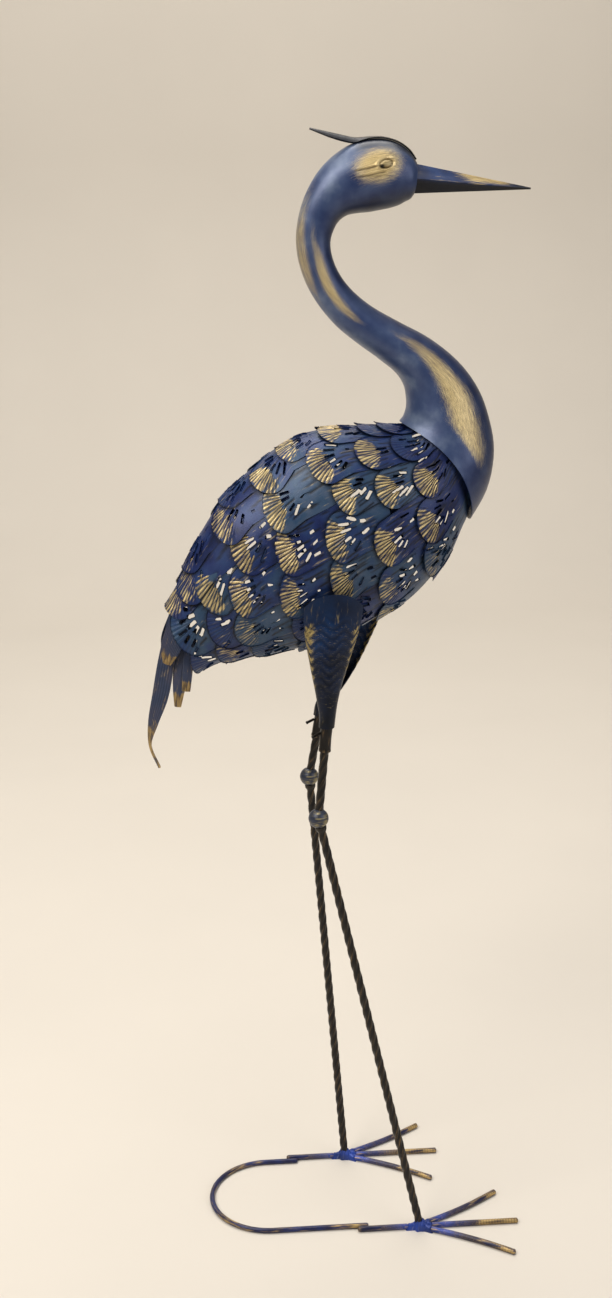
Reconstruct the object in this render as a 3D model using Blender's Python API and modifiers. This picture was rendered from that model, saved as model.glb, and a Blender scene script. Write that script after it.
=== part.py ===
"""Crane garden statue in painted sheet steel: hollow neck and head, shingled body, tail and rod legs."""

import math

import bmesh
import bpy
from mathutils import Vector

# Stock sizes
SHEET = 0.0010
GAP = 0.0003
LEG_ROD = 0.0086
TOE_ROD = 0.0060
LOOP_ROD = 0.0055
KNEE_BALL = 0.0200
BALL_SEGMENTS = 12
BALL_RINGS = 8
TWIST_PITCH = 0.056
TWIST_STEPS = 7

# Neck and head: each station is x, height above the mouth, tilt of the section, half height and half width
MOUTH_HEIGHT = 0.7940
NECK_STATIONS = (
    (0.0930, 0.0000, 126.0, 0.0587, 0.0485),
    (0.1030, 0.0180, 140.0, 0.0535, 0.0455),
    (0.1070, 0.0400, 155.0, 0.0470, 0.0415),
    (0.1040, 0.0610, 166.0, 0.0410, 0.0372),
    (0.0970, 0.0805, 176.0, 0.0360, 0.0335),
    (0.0830, 0.0990, 188.0, 0.0308, 0.0295),
    (0.0605, 0.1165, 202.0, 0.0255, 0.0250),
    (0.0370, 0.1305, 208.0, 0.0216, 0.0214),
    (0.0136, 0.1460, 210.0, 0.0186, 0.0184),
    (-0.0040, 0.1630, 207.0, 0.0167, 0.0165),
    (-0.0155, 0.1800, 198.0, 0.0160, 0.0158),
    (-0.0222, 0.1970, 187.0, 0.0158, 0.0156),
    (-0.0245, 0.2130, 175.0, 0.0160, 0.0157),
    (-0.0225, 0.2270, 165.0, 0.0170, 0.0163),
    (-0.0177, 0.2400, 152.0, 0.0188, 0.0174),
    (-0.0100, 0.2510, 139.0, 0.0220, 0.0192),
    (0.0000, 0.2590, 129.0, 0.0263, 0.0213),
    (0.0110, 0.2650, 121.0, 0.0298, 0.0230),
    (0.0230, 0.2700, 115.0, 0.0318, 0.0240),
    (0.0360, 0.2732, 109.0, 0.0318, 0.0238),
    (0.0480, 0.2745, 103.0, 0.0295, 0.0220),
    (0.0570, 0.2740, 97.0, 0.0255, 0.0192),
    (0.0645, 0.2715, 91.0, 0.0205, 0.0160),
    (0.0690, 0.2690, 85.5, 0.0145, 0.0122),
)
NECK_RINGS = 27
NECK_SIDES = 16
MOUTH_SADDLE = 0.016
MOUTH_SADDLE_REACH = 0.050
MOUTH_FIT = 0.0037

# Beak: a folded four-sided spike on the flat front of the head
BEAK_LENGTH = 0.108
BEAK_INSET = 0.0012
BEAK_TIP_SHARE = 0.06

# Crest: a strip over the forehead that lifts off the crown into one pointed plume
CREST_CLEARANCE = 0.0006
CREST_ON_HEAD = (22.6, 21.8, 20.9, 19.9, 19.2)
CREST_FREE = ((0.0180, 0.3042), (0.0070, 0.3048), (-0.0070, 0.3077), (-0.0280, 0.3122))
CREST_HALF_WIDTHS = (0.0022, 0.0046, 0.0062, 0.0070, 0.0072, 0.0072, 0.0068, 0.0052, 0.0009)
CREST_CAMBERS = (0.0002, 0.0004, 0.0006, 0.0008, 0.0010, 0.0016, 0.0026, 0.0024, 0.0003)

# Body: an egg about a straight sloping axis that starts at the mouth of the neck
BODY_PITCH = 33.7
BODY_LENGTH = 0.300
BODY_PROFILE = (
    (-0.12, 0.0425),
    (0.00, NECK_STATIONS[0][3] - SHEET - MOUTH_FIT),
    (0.10, 0.0720),
    (0.20, 0.0867),
    (0.30, 0.0945),
    (0.40, 0.0938),
    (0.52, 0.0900),
    (0.63, 0.0822),
    (0.74, 0.0668),
    (0.86, 0.0475),
    (0.94, 0.0358),
    (1.00, 0.0300),
    (1.10, 0.0220),
)
BODY_BOW = (
    (-0.12, -0.0015),
    (0.00, -0.0015),
    (0.10, -0.0010),
    (0.20, 0.0030),
    (0.33, 0.0065),
    (0.70, 0.0066),
    (0.90, 0.0030),
    (1.00, 0.0),
    (1.10, 0.0),
)
BODY_WIDTH_SHARES = ((-0.12, 0.90), (0.0, 0.84), (0.35, 0.68), (0.70, 0.70), (1.0, 0.84), (1.1, 0.86))
NECK_RISE = 0.40

# Feather rows: where the tips reach along the axis, and how far the row leans from square
ROW_TIP_SHARES = (0.133, 0.273, 0.413, 0.560, 0.707, 0.853, 0.990)
ROW_TIPS = tuple(BODY_LENGTH * share for share in ROW_TIP_SHARES)
ROW_LEANS = (0.22, 0.42, 0.45, 0.42, 0.34, 0.22, 0.08)
FEATHER_PITCH = 0.045
FEATHER_NOTCH = 0.013
FEATHER_SLACK = 0.0021
FEATHER_LIFT = SHEET + GAP + FEATHER_SLACK
FEATHER_CROWN = 0.0013
ROW_OVERLAP = 0.017
ROW_TUCK = 0.009
FEATHER_COLUMNS = 4
FEATHER_STEPS = 3
GIRTH_STEPS = 360

# Tail plumes: spine points from the end of the egg, half widths, fold, and turn of the face from the rear
PLUME_STEPS = 2
PLUME_LOOK_AHEAD = 0.05
CURL_HALF_WIDTH = 0.0011
TAIL_PLUMES = {
    "tail_plume_centre": (
        (
            (-0.0074, 0.0000, 0.0305),
            (-0.0186, 0.0000, -0.0135),
            (-0.0254, 0.0000, -0.0495),
            (-0.0306, 0.0000, -0.0795),
            (-0.0306, 0.0000, -0.1055),
            (-0.0219, 0.0000, -0.1285),
        ),
        (0.0080, 0.0090, 0.0088, 0.0055, CURL_HALF_WIDTH, CURL_HALF_WIDTH),
        1.9,
        0.0,
    ),
    "tail_plume_right_cover": (
        (
            (0.0046, -0.0185, 0.0325),
            (-0.0019, -0.0185, 0.0175),
            (-0.0084, -0.0175, -0.0005),
            (-0.0119, -0.0160, -0.0165),
        ),
        (0.0095, 0.0110, 0.0105, 0.0040),
        0.2,
        -62.0,
    ),
    "tail_plume_right_inner": (
        (
            (0.0126, -0.0135, 0.0125),
            (0.0046, -0.0135, -0.0155),
            (0.0001, -0.0130, -0.0395),
            (-0.0019, -0.0120, -0.0615),
        ),
        (0.0065, 0.0070, 0.0062, 0.0030),
        0.2,
        -80.0,
    ),
    "tail_plume_right_lower": (
        (
            (0.0111, -0.0165, 0.0045),
            (0.0096, -0.0165, -0.0125),
            (0.0081, -0.0165, -0.0285),
            (0.0066, -0.0165, -0.0445),
        ),
        (0.0042, 0.0046, 0.0045, 0.0038),
        0.2,
        -88.0,
    ),
}

# Legs: x of the thigh end and its drop below the mouth, x of the knee and its drop below that, x of the ankle
# and how far each thigh leans from its leg
LEG_SPREAD = 0.136
HIP_SPREAD = LEG_SPREAD - 0.004
LEGS = {
    "right": {
        "side": -1,
        "knee": (-0.0250, 0.092),
        "ankle": 0.0835,
        "hip": (-0.0172, 0.235),
        "lean": -0.0035,
    },
    "left": {
        "side": 1,
        "knee": (-0.0215, 0.069),
        "ankle": 0.0190,
        "hip": (-0.0100, 0.265),
        "lean": 0.0220,
    },
}
SOCKET_LENGTH = 0.034
SOCKET_EXPOSED = 0.024
SOCKET_CLEARANCE = 0.0004
SOCKET_SIDES = 14
UPPER_LEG_PLUG = 0.008
SCREW_DIAMETER = 0.0034
SCREW_LENGTH = 0.008
SCREW_DROP = 0.007
SCREW_TILT = 36.0
SCREW_SIDES = 8
SLEEVE_CLEARANCE = 0.0008
SLEEVE_RADIUS = LEG_ROD / 2 + SOCKET_CLEARANCE + SHEET + SLEEVE_CLEARANCE + SHEET / 2
THIGH_TOP_DROP = 0.104
THIGH_LEAN_SHAPE = ((0.0, 0.0), (0.08, 0.03), (0.21, 0.40), (0.35, 0.64), (0.6, 0.80), (1.0, 1.0))
THIGH_SPREAD_SHAPE = (
    (0.0, 0.0),
    (0.08, 0.0004),
    (0.16, 0.0017),
    (0.30, 0.0049),
    (0.45, 0.0093),
    (0.60, 0.0133),
    (0.75, 0.0173),
    (0.88, 0.0200),
    (1.0, 0.0208),
)
THIGH_WRAP = (150.0, 62.0)
THIGH_TOP_DEPTH = 0.0120
THIGH_COLUMNS = 10
THIGH_TOP_ARCH = 0.014

# Feet: three splayed toes and a back toe round a puddle of weld, joined behind by one bent rod
TOE_LENGTH = 0.105
TOE_SPLAY = 30.0
TOE_BOW = 0.0025
TOE_BENDS = (0.0, 0.3, 0.65, 1.0)
BACK_TOE_LENGTH = 0.066
WELD_RADIUS = (TOE_ROD + GAP) / (2 * math.sin(math.radians(TOE_SPLAY / 2))) - GAP
WELD_HEIGHT = 0.0092
WELD_SINK = 0.0024
WELD_RINGS = 6
LOOP_LAP = 0.012
LOOP_REAR_X = -0.133
LOOP_ARC_POINTS = 13

COLOURS = {
    "blue_paint": ("#26375F", 0.38, 0.35),
    "black_gold_paint": ("#2A2723", 0.45, 0.45),
}

BODY_AXIS = Vector((-math.cos(math.radians(BODY_PITCH)), 0, -math.sin(math.radians(BODY_PITCH))))
BODY_UP = Vector((-math.sin(math.radians(BODY_PITCH)), 0, math.cos(math.radians(BODY_PITCH))))
BODY_SIDE = Vector((0, 1, 0))
MOUTH = Vector((NECK_STATIONS[0][0], 0, MOUTH_HEIGHT))
TAIL_ROOT = MOUTH + BODY_AXIS * BODY_LENGTH


def linear(code):
    """An sRGB hex colour as linear red, green, blue and alpha."""
    parts = [int(code[i : i + 2], 16) / 255 for i in (1, 3, 5)]
    return [c / 12.92 if c <= 0.04045 else ((c + 0.055) / 1.055) ** 2.4 for c in parts] + [1.0]


def paint(name):
    """The Principled material of one paint."""
    made = bpy.data.materials.get(name)
    if made is None:
        code, roughness, metallic = COLOURS[name]
        made = bpy.data.materials.new(name)
        made.use_nodes = True
        shader = made.node_tree.nodes["Principled BSDF"]
        shader.inputs["Base Color"].default_value = linear(code)
        shader.inputs["Roughness"].default_value = roughness
        shader.inputs["Metallic"].default_value = metallic
    return made


def place(name, data, paint_name):
    """Links an object with this data into the statue's collection."""
    made = bpy.data.objects.new(name, data)
    made.data.materials.append(paint(paint_name))
    bpy.data.collections["crane_garden_statue"].objects.link(made)
    return made


def smooth_value(points, x):
    """A smooth value at x through (x, value) points, as a Catmull-Rom curve gives it."""
    xs = [p[0] for p in points]
    ys = [p[1] for p in points]
    x = min(max(x, xs[0]), xs[-1])
    i = max(k for k in range(len(xs) - 1) if xs[k] <= x)
    span = xs[i + 1] - xs[i]
    u = (x - xs[i]) / span

    def slope(k):
        lo, hi = max(k - 1, 0), min(k + 1, len(xs) - 1)
        return (ys[hi] - ys[lo]) / (xs[hi] - xs[lo])

    a, b = slope(i) * span, slope(i + 1) * span
    return (
        ys[i] * (2 * u**3 - 3 * u**2 + 1)
        + a * (u**3 - 2 * u**2 + u)
        + ys[i + 1] * (3 * u**2 - 2 * u**3)
        + b * (u**3 - u**2)
    )


def along(rows, u):
    """Each column of a list of rows, read smoothly at the row number u."""
    return [smooth_value([(k, row[c]) for k, row in enumerate(rows)], u) for c in range(len(rows[0]))]


def surface(name, rows, paint_name, ring=False, cap_last=False, offset=0.0, thickness=SHEET):
    """A sheet-metal piece: a grid of points given a wall, with its rows closed into rings where asked."""
    mesh = bpy.data.meshes.new(name)
    shape = bmesh.new()
    grid = [[shape.verts.new(p) for p in row] for row in rows]
    for lower, upper in zip(grid, grid[1:]):
        count = len(lower)
        for j in range(count if ring else count - 1):
            k = (j + 1) % count
            shape.faces.new((lower[j], lower[k], upper[k], upper[j]))
    if cap_last:
        shape.faces.new(grid[-1])
    bmesh.ops.recalc_face_normals(shape, faces=shape.faces)
    shape.to_mesh(mesh)
    shape.free()
    made = place(name, mesh, paint_name)
    wall = made.modifiers.new("sheet", "SOLIDIFY")
    wall.thickness = thickness
    wall.offset = offset
    mesh.shade_smooth()
    mesh.set_sharp_from_angle(angle=math.radians(40))
    return made


def solid_loft(name, rings, paint_name):
    """A closed solid through rings of points, flat at both ends."""
    mesh = bpy.data.meshes.new(name)
    shape = bmesh.new()
    grid = [[shape.verts.new(p) for p in ring] for ring in rings]
    for lower, upper in zip(grid, grid[1:]):
        for j in range(len(lower)):
            k = (j + 1) % len(lower)
            shape.faces.new((lower[j], lower[k], upper[k], upper[j]))
    shape.faces.new(list(reversed(grid[0])))
    shape.faces.new(grid[-1])
    bmesh.ops.recalc_face_normals(shape, faces=shape.faces)
    shape.to_mesh(mesh)
    shape.free()
    return place(name, mesh, paint_name)


def rod(name, points, diameter, paint_name):
    """A plain round rod through a list of points."""
    curve = bpy.data.curves.new(name, "CURVE")
    curve.dimensions = "3D"
    curve.twist_mode = "Z_UP"
    curve.bevel_depth = diameter / 2
    curve.bevel_resolution = 2
    curve.use_fill_caps = True
    line = curve.splines.new("POLY")
    line.points.add(len(points) - 1)
    for point, where in zip(line.points, points):
        point.co = (*where, 1.0)
    return place(name, curve, paint_name)


# Neck, head, beak and crest


def neck_station(u):
    """Centre, in-plane direction towards the back line, half height and half width at station number u."""
    x, z, tilt, half_height, half_width = along(NECK_STATIONS, u)
    direction = Vector((math.cos(math.radians(tilt)), 0, math.sin(math.radians(tilt))))
    return Vector((x, 0, MOUTH_HEIGHT + z)), direction, half_height, half_width


def make_neck_and_head():
    """The hollow neck: round sections from the open mouth over the chest to the flat front of the head."""
    rows = []
    last = len(NECK_STATIONS) - 1
    for r in range(NECK_RINGS + 1):
        centre, direction, half_height, half_width = neck_station(last * r / NECK_RINGS)
        reach = max(0.0, 1 - (centre - MOUTH).length / MOUTH_SADDLE_REACH)
        row = []
        for j in range(NECK_SIDES):
            a = 2 * math.pi * j / NECK_SIDES
            point = centre + direction * (half_height * math.cos(a)) + BODY_SIDE * (half_width * math.sin(a))
            row.append(point - BODY_AXIS * (MOUTH_SADDLE * math.sin(a) ** 2 * reach))
        rows.append(row)
    return surface("neck_and_head", rows, "blue_paint", ring=True, cap_last=True, offset=-1.0)


def make_beak():
    """The spike, with its corners at the top, bottom and sides."""
    centre, up, half_height, half_width = neck_station(len(NECK_STATIONS) - 1)
    forward = BODY_SIDE.cross(up)
    rings = []
    for share, size in ((0.0, 1.0), (1.0, BEAK_TIP_SHARE)):
        middle = centre + forward * (GAP + BEAK_LENGTH * share)
        high = up * ((half_height - BEAK_INSET) * size)
        wide = BODY_SIDE * ((half_width - BEAK_INSET) * size)
        rings.append([middle + high, middle + wide, middle - high, middle - wide])
    return solid_loft("beak", rings, "blue_paint")


def make_crest():
    """The strip: it lies on the forehead by its wall and the gap, then runs free to its point."""
    spine = []
    for u in CREST_ON_HEAD:
        centre, up, half_height, _ = neck_station(u)
        spine.append(centre + up * (half_height + CREST_CLEARANCE + SHEET))
    spine += [Vector((x, 0, MOUTH_HEIGHT + z)) for x, z in CREST_FREE]
    rows = []
    for k, middle in enumerate(spine):
        ahead = spine[min(k + 1, len(spine) - 1)] - spine[max(k - 1, 0)]
        up = ahead.normalized().cross(BODY_SIDE)
        up = up if up.z > 0 else -up
        half, camber = CREST_HALF_WIDTHS[k], CREST_CAMBERS[k]
        rows.append(
            [middle + BODY_SIDE * (half * c) - up * (camber * c * c) for c in (-1.0, -0.5, 0.0, 0.5, 1.0)]
        )
    return surface("crest", rows, "blue_paint")


# Body


def body_half_height(t):
    """Half height of the egg, square to its axis, at the distance t from the mouth."""
    return smooth_value(BODY_PROFILE, t / BODY_LENGTH)


def body_half_width(t):
    """Half width of the egg at the distance t from the mouth."""
    return body_half_height(t) * smooth_value(BODY_WIDTH_SHARES, t / BODY_LENGTH)


def body_bow(t):
    """How far the middle of the egg lies above its straight axis; ahead of the mouth it follows the neck."""
    return smooth_value(BODY_BOW, t / BODY_LENGTH) + NECK_RISE * max(0.0, -t)


def body_point(t, angle, lift):
    """A point over the egg, at an angle from its top line."""
    return (
        MOUTH
        + BODY_AXIS * t
        + BODY_UP * ((body_half_height(t) + lift) * math.cos(angle) + body_bow(t))
        + BODY_SIDE * ((body_half_width(t) + lift) * math.sin(angle))
    )


def body_side_at(x, z, lift):
    """How far the egg reaches sideways at a place in the side view, or zero outside its outline."""
    offset = Vector((x, 0, z)) - MOUTH
    t = offset.dot(BODY_AXIS)
    across = (offset.dot(BODY_UP) - body_bow(t)) / (body_half_height(t) + lift)
    return (body_half_width(t) + lift) * math.sqrt(max(0.0, 1 - across * across))


def even_angles(t, count, turn):
    """Angles round the egg at even distances along its girth."""
    high, wide = body_half_height(t), body_half_width(t)
    marks = [0.0]
    for k in range(GIRTH_STEPS):
        a = 2 * math.pi * (k + 0.5) / GIRTH_STEPS
        marks.append(marks[-1] + math.hypot(high * math.sin(a), wide * math.cos(a)))
    girth = marks[-1]
    angles = []
    for j in range(count):
        goal = girth * ((j + turn) / count % 1.0)
        k = max(i for i in range(GIRTH_STEPS) if marks[i] <= goal)
        inside = (goal - marks[k]) / (marks[k + 1] - marks[k])
        angles.append(2 * math.pi * (k + inside) / GIRTH_STEPS)
    return angles


def row_tip_line(row, angle):
    """Where the tips of a row end, before their rounding; row -1 is the mouth of the neck."""
    if row < 0:
        return -MOUTH_SADDLE * math.sin(angle) ** 2
    return ROW_TIPS[row] - ROW_LEANS[row] * body_half_height(ROW_TIPS[row]) * math.cos(angle)


def feather_count(row):
    """How many feathers of the usual pitch go round a row."""
    t = ROW_TIPS[row]
    high, wide = body_half_height(t), body_half_width(t)
    girth = math.pi * (3 * (high + wide) - math.sqrt((3 * high + wide) * (high + 3 * wide)))
    return max(6, round(girth / FEATHER_PITCH))


def make_feather_row(row):
    """One row of feathers, fused at their sides, with its front tucked under the row before."""
    count = feather_count(row)
    columns = count * FEATHER_COLUMNS
    turn = FEATHER_COLUMNS / 2 * (row % 2)
    angles = even_angles(ROW_TIPS[row], columns, turn)
    overlap = ROW_TUCK if row == 0 else ROW_OVERLAP
    rows = []
    for k in range(FEATHER_STEPS + 1):
        s = k / FEATHER_STEPS
        points = []
        for j, angle in enumerate(angles):
            across = 2 * (j % FEATHER_COLUMNS) / FEATHER_COLUMNS - 1
            notch = FEATHER_NOTCH * (1 - math.sqrt(max(0.0, 1 - across * across)))
            front = row_tip_line(row - 1, angle) - overlap
            t = front + (row_tip_line(row, angle) - notch - front) * s
            lift = FEATHER_LIFT * s + FEATHER_CROWN * (1 - across * across) * s * s
            points.append(body_point(t, angle, lift))
        rows.append(points)
    return surface(f"feather_row_{row + 1}", rows, "blue_paint", ring=True)


# Tail


def make_plume(name, points, half_widths, fold, turn):
    """A long tail feather: a leaf creased along its spine, facing outwards at an angle from the rear."""
    outward = Vector((-math.cos(math.radians(turn)), math.sin(math.radians(turn)), 0))
    rows = []
    for k in range(PLUME_STEPS * (len(points) - 1) + 1):
        u = k / PLUME_STEPS
        middle = TAIL_ROOT + Vector(along(points, u))
        ahead = Vector(along(points, u + PLUME_LOOK_AHEAD)) - Vector(along(points, u - PLUME_LOOK_AHEAD))
        half = max(CURL_HALF_WIDTH, smooth_value(list(enumerate(half_widths)), u))
        across = ahead.cross(outward).normalized()
        out = across.cross(ahead).normalized()
        out = out if out.dot(outward) > 0 else -out
        rows.append([middle + across * (half * c) - out * (half * fold * abs(c)) for c in (-1.0, 0.0, 1.0)])
    return surface(name, rows, "blue_paint")


# Legs and feet


def leg_points(leg):
    """Knee, ankle and thigh end of one leg."""
    spread, hips = leg["side"] * LEG_SPREAD / 2, leg["side"] * HIP_SPREAD / 2
    hip = Vector((leg["hip"][0], hips, MOUTH_HEIGHT - leg["hip"][1]))
    knee = Vector((leg["knee"][0], spread, hip.z - leg["knee"][1]))
    ankle = Vector((leg["ankle"], spread, TOE_ROD / 2))
    return knee, ankle, hip


def make_thigh(name, leg):
    """The thigh: a sheet bent round the leg, open towards the middle, that spreads over the body."""
    knee, _, hip = leg_points(leg)
    slope = (hip - knee) / (hip.z - knee.z)
    clear = FEATHER_LIFT + FEATHER_CROWN + SHEET + GAP
    rows = []
    for v, spread in THIGH_SPREAD_SHAPE:
        half = SLEEVE_RADIUS + spread
        wrap = math.radians(THIGH_WRAP[0] + (THIGH_WRAP[1] - THIGH_WRAP[0]) * v)
        widest = 1.0 if wrap > math.pi / 2 else math.sin(wrap)
        depth = SLEEVE_RADIUS + (THIGH_TOP_DEPTH - SLEEVE_RADIUS) * v
        points = []
        for j in range(THIGH_COLUMNS + 1):
            c = 2 * j / THIGH_COLUMNS - 1
            top = MOUTH_HEIGHT - THIGH_TOP_DROP - THIGH_TOP_ARCH * c * c
            z = hip.z + (top - hip.z) * v
            middle = hip + slope * (z - hip.z)
            lean = leg["lean"] * smooth_value(THIGH_LEAN_SHAPE, v)
            x = middle.x + lean + half * math.sin(c * wrap) / widest
            y = abs(middle.y) + SLEEVE_RADIUS - depth + depth * math.cos(c * wrap)
            y = max(y, body_side_at(x, z, clear))
            points.append((x, leg["side"] * y, z))
        rows.append(points)
    return surface(name, rows, "blue_paint")


def ring_about(centre, axis, radius, sides, turn=0.0):
    """A ring of points round an axis; the first lies towards the front."""
    first = (Vector((1, 0, 0)) - axis * axis.x).normalized()
    second = axis.cross(first)
    return [
        centre + first * (radius * math.cos(2 * math.pi * j / sides + turn))
        + second * (radius * math.sin(2 * math.pi * j / sides + turn))
        for j in range(sides)
    ]


def make_twisted_bar(name, start, end):
    """A square bar twisted about its length."""
    axis = (end - start).normalized()
    length = (end - start).length
    steps = max(2, round(length / TWIST_PITCH * TWIST_STEPS))
    twist = 2 * math.pi * length / TWIST_PITCH
    rings = [
        ring_about(start + axis * (length * k / steps), axis, LEG_ROD / 2, 4, twist * k / steps)
        for k in range(steps + 1)
    ]
    return solid_loft(name, rings, "black_gold_paint")


def flatten(shape, direction, distance):
    """Cuts a closed shape off flat, square to a direction and at a distance along it."""
    cut = bmesh.ops.bisect_plane(
        shape,
        geom=shape.verts[:] + shape.edges[:] + shape.faces[:],
        plane_co=direction * distance,
        plane_no=direction,
        clear_outer=True,
    )
    edges = [e for e in cut["geom_cut"] if isinstance(e, bmesh.types.BMEdge)]
    bmesh.ops.holes_fill(shape, edges=edges)
    bmesh.ops.recalc_face_normals(shape, faces=shape.faces)


def make_knee_ball(name, centre, directions):
    """A ball with a flat wherever a bar stands on it."""
    mesh = bpy.data.meshes.new(name)
    shape = bmesh.new()
    bmesh.ops.create_uvsphere(shape, u_segments=BALL_SEGMENTS, v_segments=BALL_RINGS, radius=KNEE_BALL / 2)
    for direction in directions:
        flatten(shape, direction, flat_distance())
    shape.to_mesh(mesh)
    shape.free()
    made = place(name, mesh, "black_gold_paint")
    made.location = centre
    return made


def flat_distance():
    """From the middle of a knee ball to its flats, which are a little wider than the bar."""
    return math.sqrt((KNEE_BALL / 2) ** 2 - (LEG_ROD / 2 + GAP) ** 2)


def make_socket(name, hip, down):
    """The tube that the upper bar plugs into, half inside the end of the thigh."""
    inner = LEG_ROD / 2 + SOCKET_CLEARANCE
    top = hip - down * (SOCKET_LENGTH - SOCKET_EXPOSED)
    rows = [ring_about(top + down * (SOCKET_LENGTH * k), down, inner, SOCKET_SIDES) for k in (0, 1)]
    return surface(name, rows, "black_gold_paint", ring=True, offset=1.0)


def make_screw(name, socket_middle, down):
    """The thumb screw behind the socket, hanging a little downwards."""
    mesh = bpy.data.meshes.new(name)
    shape = bmesh.new()
    radius = SCREW_DIAMETER / 2
    bmesh.ops.create_cone(
        shape, cap_ends=True, segments=SCREW_SIDES, radius1=radius, radius2=radius, depth=SCREW_LENGTH
    )
    shape.to_mesh(mesh)
    shape.free()
    made = place(name, mesh, "black_gold_paint")
    backward = (Vector((-1, 0, 0)) + down * down.x).normalized()
    level, drop = math.cos(math.radians(SCREW_TILT)), math.sin(math.radians(SCREW_TILT))
    pointing = backward * level + down * drop
    reach = LEG_ROD / 2 + SOCKET_CLEARANCE + SHEET + GAP + SCREW_LENGTH / 2 * level + radius * drop
    made.location = socket_middle + backward * reach + down * (SCREW_LENGTH / 2 * drop)
    made.rotation_mode = "QUATERNION"
    made.rotation_quaternion = pointing.to_track_quat("Z", "Y")
    return made


def make_leg(side_name, leg):
    """One leg from the thigh to the toes."""
    knee, ankle, hip = leg_points(leg)
    up = (hip - knee).normalized()
    down = (ankle - knee).normalized()
    weld_top = WELD_HEIGHT + GAP
    make_thigh(f"{side_name}_thigh", leg)
    make_socket(f"{side_name}_leg_socket", hip, -up)
    make_screw(f"{side_name}_leg_screw", hip - up * SCREW_DROP, -up)
    start = flat_distance() + GAP
    make_twisted_bar(f"{side_name}_upper_leg", knee + up * start, hip + up * UPPER_LEG_PLUG)
    make_knee_ball(f"{side_name}_knee_ball", knee, (up, down))
    drop = (knee.z - weld_top - LEG_ROD / 2 * math.hypot(down.x, down.y)) / -down.z
    make_twisted_bar(f"{side_name}_lower_leg", knee + down * start, knee + down * drop)
    make_foot(side_name, leg, ankle)


def make_foot(side_name, leg, ankle):
    """The weld and the four toes that lie on the ground round it."""
    mesh = bpy.data.meshes.new(f"{side_name}_ankle_weld")
    shape = bmesh.new()
    bmesh.ops.create_uvsphere(shape, u_segments=BALL_SEGMENTS, v_segments=WELD_RINGS, radius=1.0)
    radius_z = (WELD_HEIGHT + WELD_SINK) / 2
    bmesh.ops.scale(shape, verts=shape.verts, vec=(WELD_RADIUS, WELD_RADIUS, radius_z))
    bmesh.ops.translate(shape, verts=shape.verts, vec=(0, 0, radius_z - WELD_SINK))
    flatten(shape, Vector((0, 0, -1)), 0.0)
    shape.to_mesh(mesh)
    shape.free()
    weld = place(mesh.name, mesh, "blue_paint")
    weld.location = (ankle.x, ankle.y, 0)
    for toe_name, turn, bow in (("inner", -leg["side"], 1), ("middle", 0, 0), ("outer", leg["side"], -1)):
        angle = math.radians(TOE_SPLAY) * turn
        ahead = Vector((math.cos(angle), math.sin(angle), 0))
        across = Vector((-ahead.y, ahead.x, 0)) * (TOE_BOW * bow * leg["side"])
        start, end = ankle + ahead * (WELD_RADIUS + GAP), ankle + ahead * TOE_LENGTH
        points = [start.lerp(end, s) + across * math.sin(math.pi * s) for s in TOE_BENDS]
        rod(f"{side_name}_toe_{toe_name}", points, TOE_ROD, "blue_paint")
    back = Vector((-1, 0, 0))
    points = [ankle + back * (WELD_RADIUS + GAP), ankle + back * BACK_TOE_LENGTH]
    rod(f"{side_name}_toe_back", points, TOE_ROD, "blue_paint")


def make_rear_loop():
    """The rod bent to a U behind the feet, whose ends lie along the inner sides of the back toes."""
    half = LEG_SPREAD / 2 - (TOE_ROD + LOOP_ROD) / 2 - GAP
    centre_x = LOOP_REAR_X + half
    height = LOOP_ROD / 2
    ends = {name: leg["ankle"] - BACK_TOE_LENGTH + LOOP_LAP for name, leg in LEGS.items()}
    points = [(ends["right"], -half, height)]
    for k in range(LOOP_ARC_POINTS + 1):
        a = -math.pi / 2 - math.pi * k / LOOP_ARC_POINTS
        points.append((centre_x + half * math.cos(a), half * math.sin(a), height))
    points.append((ends["left"], half, height))
    return rod("rear_loop", points, LOOP_ROD, "blue_paint")


def main():
    """Clears the scene and builds the statue."""
    for old in list(bpy.data.objects):
        bpy.data.objects.remove(old)
    statue = bpy.data.collections.new("crane_garden_statue")
    bpy.context.scene.collection.children.link(statue)
    make_neck_and_head()
    make_beak()
    make_crest()
    for row in range(len(ROW_TIPS)):
        make_feather_row(row)
    for name, (points, half_widths, fold, turn) in TAIL_PLUMES.items():
        make_plume(name, points, half_widths, fold, turn)
        if "right" in name:
            mirrored = [(x, -y, z) for x, y, z in points]
            make_plume(name.replace("right", "left"), mirrored, half_widths, fold, -turn)
    for side_name, leg in LEGS.items():
        make_leg(side_name, leg)
    make_rear_loop()


main()
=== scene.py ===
"""Looks of the crane garden statue: pressed sheet steel and twisted bar in navy enamel,
dry-brushed with antique gold."""

import math

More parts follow.
